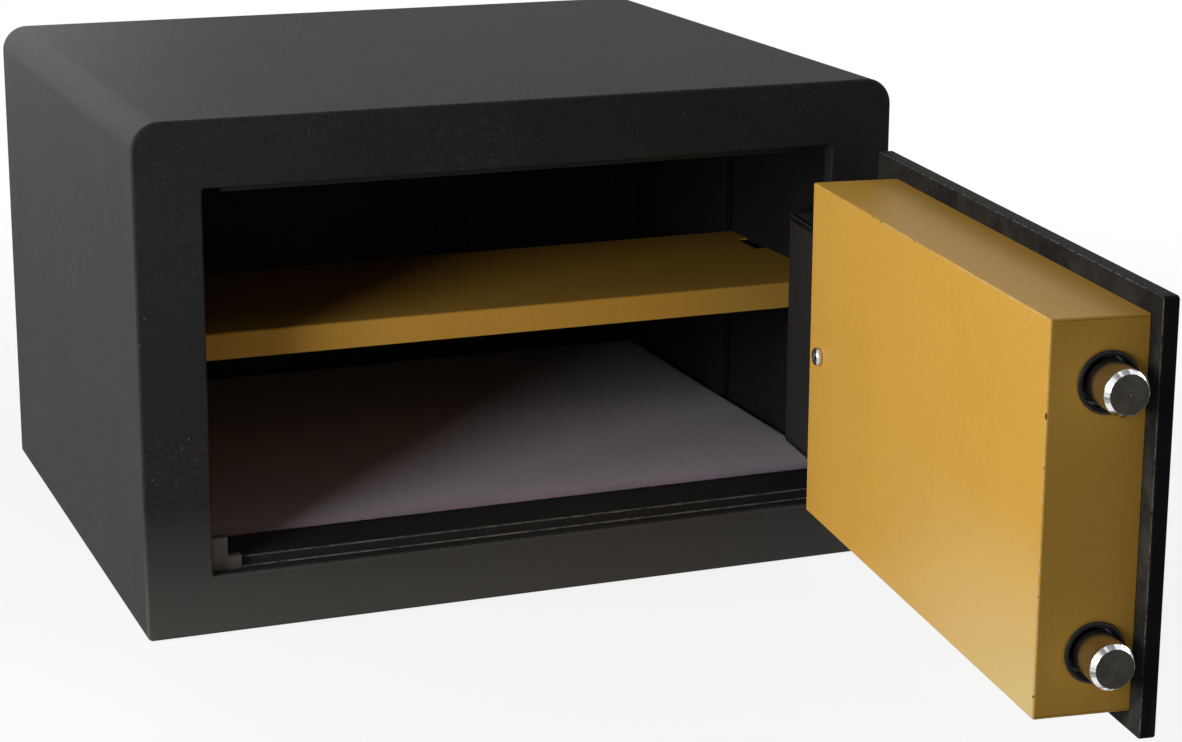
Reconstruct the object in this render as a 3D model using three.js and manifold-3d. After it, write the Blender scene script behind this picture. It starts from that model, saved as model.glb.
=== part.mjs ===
// A small steel furniture safe with its door standing open and both bolts thrown.
// Millimetres, +Z up. The origin is the centre of the body's underside and the door opens towards -Y.
import * as THREE from "three";
import { mergeVertices } from "three/addons/utils/BufferGeometryUtils.js";
import Module from "manifold-3d";

const wasm = await Module();
wasm.setup();

// General clearances
const seatGap = 0.3;
const runningGap = 0.5;
const overrun = 1;
const roundSteps = 24;
const smallRoundSteps = 16;
const outlineCurveSteps = 8;
const hingeCurveSteps = 10;
const slotCurveSteps = 4;
const slotCornerShare = 0.9;

// Body: outer size, its sheet and the rounded outline that the front shows
const bodyWidth = 430;
const bodyDepth = 370;
const bodyHeight = 277;
const bodySheet = 2;
const topCornerRadius = 15;
const bottomCornerRadius = 3;
const stileWidth = 36;
const topRailHeight = 36;
const bottomRailHeight = 32;
const openingCornerRadius = 2;
const returnDepth = 9;
const halfWidth = bodyWidth / 2;
const frontY = -bodyDepth / 2;
const backY = bodyDepth / 2;
const openingHalfWidth = halfWidth - stileWidth;
const openingBottom = bottomRailHeight;
const openingTop = bodyHeight - topRailHeight;
const returnEndY = frontY + returnDepth;
const innerHalfWidth = halfWidth - bodySheet;

// Raised floor with two stop beads behind the opening, and the felt mat on it
const floorSheet = 1.5;
const floorTop = 36;
const floorFlangeHeight = 10;
const firstBeadTop = 32.8;
const beadWidth = 2;
const beadFlank = 1;
const beadGrooveDepth = 0.8;
const secondBeadRise = 0.5;
const feltFromFront = 49;
const feltThickness = 3;
const feltSideGap = 3;

// Shelf with a folded lip, its brackets and the upright rails behind it
const shelfTop = 148;
const shelfFromFront = 63;
const shelfDepth = 143;
const shelfSheet = 1.2;
const shelfLip = 15;
const shelfRearLip = 8;
const shelfNotchDepth = 8;
const shelfNotchLength = 30;
const shelfNotchFromBack = 24;
const shelfBracketWidth = 14;
const shelfBracketHeight = 12;
const shelfBracketSheet = 1.5;
const shelfBracketInset = 10;
const railWidth = 16;
const railDepth = 6;
const railFromCeiling = 12;

// Stops, keeper and back fixings
const topStopDrop = 4;
const topStopSheet = 2;
const topStopInset = 12;
const bufferArm = 10.5;
const bufferFoot = 7;
const bufferSpan = 18;
const bufferHeight = 18;
const bufferDepth = 6;
const bufferLap = 1.7;
const keeperSheet = 4;
const keeperFromReturn = 2;
const keeperDepth = 42;
const keeperHoleRadius = 12.3;
const keeperEndMargin = 18;
const anchorSpacing = 200;
const anchorHeight = 200;
const anchorHoleRadius = 5.5;
const plugHeadRadius = 9;
const plugHeadThickness = 2;

// Door plate
const doorThickness = 8;
const doorFreeGap = 2;
const doorHingeGap = 2.5;
const doorEdgeGap = 1.5;
const doorOpenDegrees = 83;
const doorFreeX = -openingHalfWidth + doorFreeGap;
const doorHingeX = openingHalfWidth - doorHingeGap;
const doorBottom = openingBottom + doorEdgeGap;
const doorTop = openingTop - doorEdgeGap;
const doorMiddle = (doorBottom + doorTop) / 2;
const plateY = frontY + doorThickness;

// Folded cover on the inside of the door
const coverDepth = 48;
const coverSheet = 1.2;
const coverFromFreeEdge = 11;
const coverFromHingeEdge = 29.5;
const coverFromTopEdge = 10;
const coverFreeX = doorFreeX + coverFromFreeEdge;
const coverHingeX = doorHingeX - coverFromHingeEdge;
const coverBottom = doorBottom + coverFromTopEdge;
const coverTop = doorTop - coverFromTopEdge;
const coverInnerY = plateY + coverDepth;
const coverScrewFromEdge = 17;
const coverScrewHeadRadius = 5;
const coverScrewHeadHeight = 3.5;
const coverScrewCrownRadius = 3.5;
const coverScrewShankLength = 12;
const coverPostBoreDepth = 16;
const coverScrewShankRadius = 2.5;
const coverScrewRecess = 1.4;
const coverScrewRecessWidth = 1.4;
const coverScrewRecessSpan = 5;
const coverPostRadius = 6;

// Concealed hinge: pivot, bracket on the door, lugs and pins on the body
const pivotFromOpening = 23;
const pivotBehindFront = 8.5;
const hingeSheet = 3;
const hingeFlange = 4;
const hingeHeight = 132;
const hingeWebDepth = 45;
const hingeWebEnd = -8;
const hingeEyeRadius = 5.5;
const hingeArmNear = 2;
const hingeArmFar = 8;
const hingeArmTop = 30;
const hingeSweepRadius = 26;
const hingeFootNear = 27;
const hingePinRadius = 2.5;
const hingePinHeadRadius = 4.5;
const hingePinHeadHeight = 2;
const hingePinTail = 2;
const lugThickness = 4;
const lugWidth = 20;
const lugDepth = 16;
const pivotX = openingHalfWidth + pivotFromOpening;
const pivotY = frontY + pivotBehindFront;
const hingeBottom = doorMiddle - hingeHeight / 2;
const hingeTop = doorMiddle + hingeHeight / 2;

// Round bolts, their bushes and guide
const boltRadius = 11;
const boltLength = 56;
const boltChamferRun = 2.6;
const boltChamferRise = 1.6;
const boltFromDoorEdge = 40;
const boltInset = 19;
const boltReach = 11;
const boltStroke = 20;
const boltRunningGap = 0.6;
const boltY = plateY + boltInset;
const boltTipX = doorFreeX - boltReach;
const boltRootX = boltTipX + boltLength;
const boltHeights = [doorTop - boltFromDoorEdge, doorBottom + boltFromDoorEdge];
const boltHalfSpan = (boltHeights[0] - boltHeights[1]) / 2;
const bushFlangeRadius = 14.7;
const bushNeckRadius = 13.4;
const bushBoreRadius = 12.2;
const bushFlangeThickness = 1.6;
const bushNeckLength = 5;
const guideSheet = 3;
const guideFromCover = 8;
const guideRise = 36;
const guideFoot = 14;
const guideEndMargin = 16;

// Carriage that joins the bolts, on two guide posts
const carriageSheet = 3;
const carriageInset = 6;
const carriageWideSpan = 36;
const carriageTongueEnd = 66;
const carriageTongueRise = 28;
const carriageEndMargin = 12;
const carriageTabHalf = 11;
const carriageTabRise = 25;
const postFromBolt = 9.5;
const postShaftRadius = 3;
const postShoulderRadius = 5;
const postHeadRadius = 5.5;
const postHeadHeight = 2.5;
const slotMargin = 3;
const toothWidth = 6;
const toothDrop = 8;

// Knob, spindle and crank cam that drive the carriage
const knobTurnDegrees = 90;
const knobFromFreeEdge = 87;
const knobRadius = 19;
const knobBaseHeight = 5;
const knobGripWidth = 12;
const knobGripHeight = 15;
const knobGripSpan = 34;
const spindleRadius = 4;
const camRadius = 18;
const camThickness = 3;
const camInset = 2.5;
const crankPinRadius = 2.5;
const crankPinReach = 5.5;
const crankSlotGap = 0.7;
const crankSlotMargin = 2;
const knobX = doorFreeX + knobFromFreeEdge;
const crankRadius = boltStroke / 2 / Math.sin(THREE.MathUtils.degToRad(knobTurnDegrees / 2));

// Solenoid that blocks the carriage
const solenoidWidth = 22;
const solenoidHeight = 26;
const solenoidDepth = 20;
const solenoidFromCover = 21.3;
const plungerRadius = 3.5;
const plungerLength = 22;
const plungerOut = 4;
const plungerSideGap = 0.5;
const plungerClear = 1;

// Keypad, batteries and battery lid on the outside
const keypadWidth = 90;
const keypadHeight = 142;
const keypadDepth = 24;
const keypadWall = 2;
const keypadCorner = 6;
const buttonWidth = 15;
const buttonHeight = 12;
const buttonProud = 2.5;
const buttonFlange = 1.2;
const buttonFlangeThickness = 1;
const buttonTravel = 1.5;
const buttonColumns = 3;
const buttonColumnPitch = 22;
const buttonRowPitch = 19;
const buttonTopMargin = 18;
const boardThickness = 1.6;
const boardHeight = 78;
const boardBehindButtons = 0.6;
const batteryRadius = 7.2;
const batteryLength = 50;
const batteryPitch = 15.5;
const batteryCount = 4;
const batteryBottomGap = 3;
const lidWidth = 72;
const lidHeight = 50;
const lidThickness = 1.6;
const lidFromBottom = 5;
const lidGap = 0.4;
const lidWindowMargin = 3;

// Emergency key lock under a swinging cover
const lockFromHingeEdge = 70.5;
const lockRadius = 9;
const lockFlangeRadius = 13;
const lockFlangeThickness = 2;
const lockInnerReach = 18;
const rotorRadius = 5.5;
const rotorProud = 0.4;
const keySlotWidth = 1.6;
const keySlotSpan = 7;
const keySlotDepth = 4;
const tongueLength = 34;
const tongueWidth = 12;
const tongueThickness = 2.5;
const keyCoverRadius = 15;
const keyCoverThickness = 3;
const keyCoverGap = 0.8;
const keyCoverRise = 18;
const keyCoverEarRadius = 6;
const keyCoverPinRadius = 2;
const lockX = doorHingeX - lockFromHingeEdge;

const finish = {
  blackCoat: { color: 0x2c2b29, roughness: 0.72, metalness: 0.1 },
  goldPaint: { color: 0xc2994a, roughness: 0.5, metalness: 0.15 },
  steel: { color: 0xb4b6b8, roughness: 0.3, metalness: 1 },
  zinc: { color: 0x9a9d9f, roughness: 0.45, metalness: 0.9 },
  felt: { color: 0x8d8894, roughness: 0.95, metalness: 0 },
  blackPlastic: { color: 0x1b1b1c, roughness: 0.55, metalness: 0 },
  greyPlastic: { color: 0x3f3c38, roughness: 0.6, metalness: 0 },
  board: { color: 0x1f5a38, roughness: 0.5, metalness: 0 },
  battery: { color: 0x3a3f46, roughness: 0.4, metalness: 0.4 },
};

// Shape and solid helpers
function box(x0, x1, y0, y1, z0, z1) {
  const geometry = new THREE.BoxGeometry(x1 - x0, y1 - y0, z1 - z0);
  return geometry.translate((x0 + x1) / 2, (y0 + y1) / 2, (z0 + z1) / 2);
}

function extruded(shape, length, steps = 6) {
  return new THREE.ExtrudeGeometry(shape, { depth: length, bevelEnabled: false, curveSegments: steps });
}

// A shape drawn in X and Z, extruded along Y
function prism(shape, y0, y1, steps) {
  return extruded(shape, y1 - y0, steps).rotateX(Math.PI / 2).translate(0, y1, 0);
}

// A shape drawn in Y and Z, extruded along X
function strip(shape, x0, x1) {
  const turn = new THREE.Matrix4().makeBasis(
    new THREE.Vector3(0, 1, 0), new THREE.Vector3(0, 0, 1), new THREE.Vector3(1, 0, 0));
  return extruded(shape, x1 - x0).applyMatrix4(turn).translate(x0, 0, 0);
}

// A shape drawn in X and Y, extruded along Z
function slab(shape, z0, z1, steps) {
  return extruded(shape, z1 - z0, steps).translate(0, 0, z0);
}

// A profile of [radius, height] pairs from the lower end to the upper end, turned about +Y
function turned(profile, steps = roundSteps) {
  return new THREE.LatheGeometry(profile.map(([r, h]) => new THREE.Vector2(r, h)), steps);
}

function rod(radius, y0, y1, steps = roundSteps) {
  return turned([[0, y0], [radius, y0], [radius, y1], [0, y1]], steps);
}

function rodAlongX(radius, x0, x1, y, z, steps) {
  return rod(radius, x0, x1, steps).rotateZ(-Math.PI / 2).translate(0, y, z);
}

function rodAlongZ(radius, z0, z1, x, y, steps) {
  return rod(radius, z0, z1, steps).rotateX(Math.PI / 2).translate(x, y, 0);
}

function toSolid(geometry) {
  const bare = geometry.clone();
  bare.deleteAttribute("normal");
  bare.deleteAttribute("uv");
  const merged = mergeVertices(bare);
  return new wasm.Manifold(new wasm.Mesh({
    numProp: 3,
    vertProperties: new Float32Array(merged.attributes.position.array),
    triVerts: new Uint32Array(merged.index.array),
  }));
}

function toGeometry(solid) {
  const mesh = solid.getMesh();
  const geometry = new THREE.BufferGeometry();
  geometry.setAttribute("position", new THREE.BufferAttribute(new Float32Array(mesh.vertProperties), 3));
  geometry.setIndex(new THREE.BufferAttribute(new Uint32Array(mesh.triVerts), 1));
  return geometry;
}

function joined(...geometries) {
  return toGeometry(geometries.map(toSolid).reduce((whole, next) => whole.add(next)));
}

function cut(geometry, ...tools) {
  return toGeometry(tools.map(toSolid).reduce((left, tool) => left.subtract(tool), toSolid(geometry)));
}

function roundedRect(x0, x1, z0, z1, lowRadius, highRadius, path = new THREE.Shape()) {
  path.moveTo(x0 + lowRadius, z0);
  path.lineTo(x1 - lowRadius, z0);
  path.absarc(x1 - lowRadius, z0 + lowRadius, lowRadius, -Math.PI / 2, 0, false);
  path.lineTo(x1, z1 - highRadius);
  path.absarc(x1 - highRadius, z1 - highRadius, highRadius, 0, Math.PI / 2, false);
  path.lineTo(x0 + highRadius, z1);
  path.absarc(x0 + highRadius, z1 - highRadius, highRadius, Math.PI / 2, Math.PI, false);
  path.lineTo(x0, z0 + lowRadius);
  path.absarc(x0 + lowRadius, z0 + lowRadius, lowRadius, Math.PI, Math.PI * 3 / 2, false);
  return path;
}

// The outline of a sheet folded along a line of points, with its thickness on the line's right side
function foldedSheet(points, thickness) {
  const line = points.map(([a, b]) => new THREE.Vector2(a, b));
  const sides = line.slice(1).map((p, i) => {
    const along = p.clone().sub(line[i]).normalize();
    return new THREE.Vector2(along.y, -along.x);
  });
  const inner = line.map((p, i) => {
    const before = sides[Math.max(i - 1, 0)];
    const after = sides[Math.min(i, sides.length - 1)];
    const reach = thickness / (1 + before.dot(after));
    return p.clone().addScaledVector(before, reach).addScaledVector(after, reach);
  });
  return new THREE.Shape([...line, ...inner.reverse()]);
}

function named(name, geometry, look) {
  const mesh = new THREE.Mesh(geometry, new THREE.MeshStandardMaterial(look));
  mesh.name = name;
  return mesh;
}

// Body shell
function bodyOutline(inset = 0) {
  return roundedRect(-halfWidth + inset, halfWidth - inset, inset, bodyHeight - inset,
    bottomCornerRadius - inset, topCornerRadius - inset);
}

function openingOutline(grow = 0, path = new THREE.Shape()) {
  const radius = openingCornerRadius + grow;
  return roundedRect(-openingHalfWidth - grow, openingHalfWidth + grow,
    openingBottom - grow, openingTop + grow, radius, radius, path);
}

function frontFrame() {
  const face = bodyOutline();
  face.holes.push(openingOutline(0, new THREE.Path()));
  const ring = openingOutline(bodySheet);
  ring.holes.push(openingOutline(0, new THREE.Path()));
  const sheetY = frontY + bodySheet;
  return joined(prism(face, frontY, sheetY, outlineCurveSteps),
    prism(ring, sheetY - overrun, returnEndY, outlineCurveSteps));
}

function bodyWrap() {
  const outline = bodyOutline();
  outline.holes.push(bodyOutline(bodySheet));
  return prism(outline, frontY + bodySheet + seatGap, backY - bodySheet - seatGap, outlineCurveSteps);
}

function anchorPlaces() {
  return [["left", -anchorSpacing / 2], ["right", anchorSpacing / 2]];
}

function backPanel() {
  const outline = bodyOutline();
  for (const [, x] of anchorPlaces()) {
    outline.holes.push(new THREE.Path().absarc(x, anchorHeight, anchorHoleRadius, 0, Math.PI * 2, false));
  }
  return prism(outline, backY - bodySheet, backY, outlineCurveSteps);
}

function anchorPlug(x) {
  const innerFace = backY - bodySheet;
  const profile = [
    [0, innerFace - seatGap - plugHeadThickness], [plugHeadRadius, innerFace - seatGap - plugHeadThickness],
    [plugHeadRadius, innerFace - seatGap], [anchorHoleRadius - seatGap, innerFace - seatGap],
    [anchorHoleRadius - seatGap, backY - seatGap], [0, backY - seatGap],
  ];
  return turned(profile, smallRoundSteps).translate(x, 0, anchorHeight);
}

// Raised floor: flange, two beads, room for the corner buffer and the flat sill, then the mat
const bufferLeft = -openingHalfWidth - bufferLap;
const bufferBottom = openingBottom - bufferLap;

function floorPanel() {
  const start = returnEndY + seatGap;
  const firstEnd = start + beadWidth;
  const secondStart = firstEnd + beadFlank * 3;
  const secondEnd = secondStart + beadWidth;
  const line = [
    [start, floorTop - floorFlangeHeight], [start, firstBeadTop],
    [firstEnd, firstBeadTop], [firstEnd + beadFlank, firstBeadTop - beadGrooveDepth],
    [firstEnd + beadFlank * 2, firstBeadTop - beadGrooveDepth], [secondStart, floorTop + secondBeadRise],
    [secondEnd, floorTop + secondBeadRise], [secondEnd + beadFlank, floorTop],
    [backY - bodySheet - seatGap, floorTop],
  ];
  const reach = innerHalfWidth - seatGap;
  const room = box(-reach - overrun, bufferLeft + bufferLap + bufferSpan + runningGap,
    start - overrun, start + bufferDepth + runningGap,
    floorTop - floorFlangeHeight - overrun, floorTop + secondBeadRise + overrun);
  return cut(strip(foldedSheet(line, floorSheet), -reach, reach), room);
}

function floorMat() {
  const reach = innerHalfWidth - feltSideGap;
  const bottom = floorTop + seatGap;
  return box(-reach, reach, frontY + feltFromFront, backY - bodySheet - feltSideGap,
    bottom, bottom + feltThickness);
}

function cornerBuffer() {
  const inner = bufferLeft + bufferLap;
  const sill = bufferBottom + bufferLap;
  const shape = new THREE.Shape([
    [bufferLeft, bufferBottom], [inner + bufferSpan, bufferBottom], [inner + bufferSpan, sill + bufferFoot],
    [inner + bufferArm, sill + bufferFoot], [inner + bufferArm, sill + bufferHeight],
    [bufferLeft, sill + bufferHeight],
  ].map(([x, z]) => new THREE.Vector2(x, z)));
  const y0 = returnEndY + seatGap;
  return prism(shape, y0, y0 + bufferDepth);
}

// Shelf and what holds it
const shelfFrontY = frontY + shelfFromFront;
const shelfBackY = shelfFrontY + shelfDepth;

function shelf() {
  const line = [
    [shelfFrontY, shelfTop - shelfLip], [shelfFrontY, shelfTop],
    [shelfBackY, shelfTop], [shelfBackY, shelfTop - shelfRearLip],
  ];
  const reach = innerHalfWidth - seatGap;
  const notchEnd = shelfBackY - shelfNotchFromBack;
  const notches = [-1, 1].map((side) => box(
    Math.min(side * (reach - shelfNotchDepth), side * (reach + overrun)),
    Math.max(side * (reach - shelfNotchDepth), side * (reach + overrun)),
    notchEnd - shelfNotchLength, notchEnd, shelfTop - shelfSheet - overrun, shelfTop + overrun));
  return cut(strip(foldedSheet(line, shelfSheet), -reach, reach), ...notches);
}

function shelfBracket(side) {
  const wall = innerHalfWidth - seatGap;
  const top = shelfTop - shelfSheet - seatGap;
  const line = [[wall, top - shelfBracketHeight], [wall, top], [wall - shelfBracketWidth, top]];
  const turnedLine = line.map(([x, z]) => [-x, z]);
  const shape = foldedSheet(turnedLine, shelfBracketSheet);
  const solid = prism(shape, shelfFrontY + shelfBracketInset, shelfBackY - shelfBracketInset);
  return side > 0 ? solid.rotateZ(Math.PI).translate(0, shelfFrontY + shelfBackY, 0) : solid;
}

function shelfRail(side) {
  const wall = innerHalfWidth - seatGap;
  const x0 = Math.min(side * wall, side * (wall - railDepth));
  const y0 = shelfBackY + seatGap;
  const foot = floorTop + feltThickness + seatGap * 2;
  return box(x0, x0 + railDepth, y0, y0 + railWidth, foot, bodyHeight - bodySheet - railFromCeiling);
}

// Stop above the door and keeper behind the left stile
function topStop() {
  const reach = openingHalfWidth - topStopInset;
  const y0 = returnEndY + seatGap;
  return box(-reach, reach, y0, y0 + topStopSheet, openingTop - topStopDrop, openingTop + bodySheet);
}

function boltKeeper() {
  const x1 = -openingHalfWidth - bodySheet - keeperFromReturn;
  const x0 = x1 - keeperSheet;
  const y0 = frontY + bodySheet + seatGap;
  const reach = boltHalfSpan + keeperEndMargin;
  const plate = box(x0, x1, y0, y0 + keeperDepth, doorMiddle - reach, doorMiddle + reach);
  const holes = boltHeights.map((z) => rodAlongX(keeperHoleRadius, x0 - overrun, x1 + overrun, boltY, z));
  return cut(plate, ...holes);
}

// Hinge lugs and pins on the body
function hingeLug(side) {
  const face = side > 0 ? hingeTop + runningGap : hingeBottom - runningGap - lugThickness;
  const x1 = innerHalfWidth - seatGap;
  const y0 = frontY + bodySheet + seatGap;
  const plate = box(x1 - lugWidth, x1, y0, y0 + lugDepth, face, face + lugThickness);
  return cut(plate, rodAlongZ(hingePinRadius + seatGap, face - overrun, face + lugThickness + overrun,
    pivotX, pivotY, smallRoundSteps));
}

function hingePin(side) {
  const lugTop = runningGap + lugThickness + seatGap;
  const profile = [
    [0, -hingeFlange - hingePinTail], [hingePinRadius, -hingeFlange - hingePinTail],
    [hingePinRadius, lugTop], [hingePinHeadRadius, lugTop],
    [hingePinHeadRadius, lugTop + hingePinHeadHeight], [0, lugTop + hingePinHeadHeight],
  ];
  const pin = turned(profile, smallRoundSteps).rotateX(side * Math.PI / 2);
  return pin.translate(pivotX, pivotY, side > 0 ? hingeTop : hingeBottom);
}

// Door plate with its holes
function doorPlate() {
  const plate = box(doorFreeX, doorHingeX, frontY, plateY, doorBottom, doorTop);
  const through = (radius, x) => rod(radius, frontY - overrun, plateY + overrun).translate(x, 0, doorMiddle);
  return cut(plate, through(spindleRadius + runningGap, knobX), through(lockRadius + seatGap, lockX));
}

const screwX = coverHingeX - coverScrewFromEdge;

function doorCover() {
  const outer = box(coverFreeX, coverHingeX, plateY + seatGap, coverInnerY, coverBottom, coverTop);
  const inner = box(coverFreeX + coverSheet, coverHingeX - coverSheet, plateY + seatGap - overrun,
    coverInnerY - coverSheet, coverBottom + coverSheet, coverTop - coverSheet);
  const holes = boltHeights.map((z) => rodAlongX(bushNeckRadius + seatGap,
    coverFreeX - overrun, coverFreeX + coverSheet + overrun, boltY, z));
  const screwHole = rod(coverScrewShankRadius + seatGap, coverInnerY - coverSheet - overrun,
    coverInnerY + overrun, smallRoundSteps).translate(screwX, 0, doorMiddle);
  return cut(outer, inner, ...holes, screwHole);
}

function coverPost() {
  const end = coverInnerY - coverSheet - seatGap;
  const post = rod(coverPostRadius, plateY + seatGap, end, smallRoundSteps);
  const bore = rod(coverScrewShankRadius + seatGap, end - coverPostBoreDepth, end + overrun, smallRoundSteps);
  return cut(post, bore).translate(screwX, 0, doorMiddle);
}

function coverScrew() {
  const head = coverInnerY + seatGap;
  const crown = coverScrewHeadHeight / 2;
  const profile = [
    [0, head - coverScrewShankLength], [coverScrewShankRadius, head - coverScrewShankLength],
    [coverScrewShankRadius, head], [coverScrewHeadRadius, head], [coverScrewHeadRadius, head + crown],
    [coverScrewCrownRadius, head + coverScrewHeadHeight], [0, head + coverScrewHeadHeight],
  ];
  const top = head + coverScrewHeadHeight;
  const arm = (half, wide) => box(-half, half, top - coverScrewRecess, top + overrun, -wide, wide);
  const half = coverScrewRecessSpan / 2;
  const wide = coverScrewRecessWidth / 2;
  const screw = turned(profile, smallRoundSteps);
  return cut(screw, arm(half, wide), arm(wide, half)).translate(screwX, 0, doorMiddle);
}

// Hinge bracket: two hooked flanges, a web and a foot on the plate, drawn about the pivot
function hingeFlangeShape() {
  const webY = plateY + hingeWebDepth - pivotY;
  const footY = plateY + seatGap - pivotY;
  const footFar = coverHingeX + runningGap - pivotX;
  const sweep = hingeSweepRadius;
  const shape = new THREE.Shape();
  shape.absarc(0, 0, hingeEyeRadius, Math.acos(hingeArmNear / hingeEyeRadius), Math.PI * 2, false);
  shape.lineTo(hingeArmFar, hingeEyeRadius);
  shape.lineTo(hingeArmFar, hingeArmTop);
  shape.lineTo(hingeWebEnd, webY);
  shape.lineTo(footFar, webY);
  shape.lineTo(footFar, footY);
  shape.lineTo(-hingeFootNear, footY);
  shape.absarc(0, 0, sweep, Math.PI, Math.acos(hingeArmNear / sweep), true);
  shape.closePath();
  shape.holes.push(new THREE.Path().absarc(0, 0, hingePinRadius + runningGap, 0, Math.PI * 2, false));
  return shape;
}

function hingeBracket() {
  const webY = plateY + hingeWebDepth;
  const footFar = coverHingeX + runningGap;
  const flange = (z0) => slab(hingeFlangeShape(), z0, z0 + hingeFlange, hingeCurveSteps)
    .translate(pivotX, pivotY, 0);
  const web = box(footFar, pivotX + hingeWebEnd, webY - hingeSheet, webY, hingeBottom, hingeTop);
  const foot = box(footFar, pivotX - hingeFootNear, plateY + seatGap, plateY + seatGap + hingeSheet,
    hingeBottom, hingeTop);
  return joined(flange(hingeBottom), flange(hingeTop - hingeFlange), web, foot);
}

// Bolts, bushes and guide
function bolt(z) {
  const profile = [
    [0, 0], [boltRadius, 0], [boltRadius, boltLength - boltChamferRun],
    [boltRadius - boltChamferRise, boltLength], [0, boltLength],
  ];
  return turned(profile).rotateZ(Math.PI / 2).translate(boltRootX, boltY, z);
}

function boltBush(z) {
  const neckEnd = coverSheet + bushNeckLength;
  const profile = [
    [bushBoreRadius, -neckEnd], [bushNeckRadius, -neckEnd], [bushNeckRadius, seatGap],
    [bushFlangeRadius, seatGap], [bushFlangeRadius, bushFlangeThickness],
    [bushBoreRadius, bushFlangeThickness], [bushBoreRadius, -neckEnd],
  ];
  return turned(profile).rotateZ(Math.PI / 2).translate(coverFreeX, boltY, z);
}

function boltGuide() {
  const x0 = coverFreeX + guideFromCover;
  const reach = boltHalfSpan + guideEndMargin;
  const low = plateY + seatGap;
  const upright = box(x0, x0 + guideSheet, low, low + guideRise, doorMiddle - reach, doorMiddle + reach);
  const foot = box(x0, x0 + guideFoot, low, low + guideSheet, doorMiddle - reach, doorMiddle + reach);
  const holes = boltHeights.map((z) => rodAlongX(boltRadius + boltRunningGap,
    x0 - overrun, x0 + guideSheet + overrun, boltY, z));
  return cut(joined(upright, foot), ...holes);
}

// Carriage: a wide web with a tongue, a blocking tooth and a tab behind each bolt
const carriageX = boltRootX + seatGap;
const carriageWideEnd = carriageX + carriageWideSpan;
const carriageEnd = carriageX + carriageTongueEnd;
const postX = carriageWideEnd - slotMargin - postShaftRadius - runningGap;
const postRise = boltHalfSpan - postFromBolt;
const carriageNearY = plateY + carriageInset;
const carriageFarY = carriageNearY + carriageSheet;
const solenoidBottom = coverBottom + coverSheet + solenoidFromCover;
const solenoidTop = solenoidBottom + solenoidHeight;
const plungerTip = solenoidTop + plungerOut;
const toothBottom = plungerTip + plungerClear;
const tongueBottom = toothBottom + toothDrop;
const tongueTop = doorMiddle + carriageTongueRise;

function carriageShape() {
  const reach = boltHalfSpan + carriageEndMargin;
  const shape = new THREE.Shape([
    [carriageX, doorMiddle - reach], [carriageWideEnd, doorMiddle - reach],
    [carriageWideEnd, tongueBottom], [carriageEnd - toothWidth, tongueBottom],
    [carriageEnd - toothWidth, toothBottom], [carriageEnd, toothBottom],
    [carriageEnd, tongueTop], [carriageWideEnd, tongueTop],
    [carriageWideEnd, doorMiddle + reach], [carriageX, doorMiddle + reach],
  ].map(([x, z]) => new THREE.Vector2(x, z)));
  const slotHalf = postShaftRadius + runningGap;
  for (const side of [-1, 1]) {
    const z = doorMiddle + side * postRise;
    shape.holes.push(roundedRect(postX - boltStroke - slotHalf, postX + slotHalf,
      z - slotHalf, z + slotHalf, slotHalf * slotCornerShare, slotHalf * slotCornerShare, new THREE.Path()));
  }
  const pinHalf = crankPinRadius + crankSlotGap;
  const pinX = knobX - boltStroke / 2;
  const pinLow = doorMiddle + Math.sqrt(crankRadius ** 2 - (boltStroke / 2) ** 2);
  shape.holes.push(roundedRect(pinX - pinHalf, pinX + pinHalf, pinLow - pinHalf - crankSlotMargin,
    doorMiddle + crankRadius + pinHalf + crankSlotMargin, pinHalf * slotCornerShare,
    pinHalf * slotCornerShare, new THREE.Path()));
  return shape;
}

function boltCarriage() {
  const tabs = boltHeights.map((z) => box(carriageX, carriageX + carriageSheet,
    carriageFarY - overrun, carriageFarY + carriageTabRise, z - carriageTabHalf, z + carriageTabHalf));
  return joined(prism(carriageShape(), carriageNearY, carriageFarY, slotCurveSteps), ...tabs);
}

function guidePost(side) {
  const low = plateY + seatGap;
  const shoulder = carriageNearY - runningGap;
  const head = carriageFarY + runningGap;
  const profile = [
    [0, low], [postShoulderRadius, low], [postShoulderRadius, shoulder], [postShaftRadius, shoulder],
    [postShaftRadius, head], [postHeadRadius, head], [postHeadRadius, head + postHeadHeight],
    [0, head + postHeadHeight],
  ];
  return turned(profile, smallRoundSteps).translate(postX, 0, doorMiddle + side * postRise);
}

// Knob, spindle and cam, drawn about the spindle's axis
function knob() {
  const face = frontY - seatGap;
  const base = rod(knobRadius, face - knobBaseHeight, face);
  const grip = box(-knobGripWidth / 2, knobGripWidth / 2, face - knobBaseHeight - knobGripHeight,
    face - knobBaseHeight + overrun, -knobGripSpan / 2, knobGripSpan / 2);
  const socket = rod(spindleRadius + seatGap, face - knobBaseHeight - seatGap, face + overrun);
  return cut(joined(base, grip), socket).translate(knobX, 0, doorMiddle);
}

function knobSpindle() {
  return rod(spindleRadius, frontY - knobBaseHeight, plateY + camInset - seatGap)
    .translate(knobX, 0, doorMiddle);
}

function knobCam() {
  const low = plateY + camInset;
  const disc = rod(camRadius, low, low + camThickness);
  const side = boltStroke / 2;
  const rise = Math.sqrt(crankRadius ** 2 - side ** 2);
  const pin = rod(crankPinRadius, low + camThickness - overrun, low + camThickness + crankPinReach,
    smallRoundSteps).translate(-side, 0, rise);
  return joined(disc, pin).translate(knobX, 0, doorMiddle);
}

// Solenoid beside the tooth, with its plunger drawn in
const plungerX = carriageEnd + plungerSideGap + plungerRadius;
const plungerY = plateY + solenoidDepth / 2;

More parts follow.
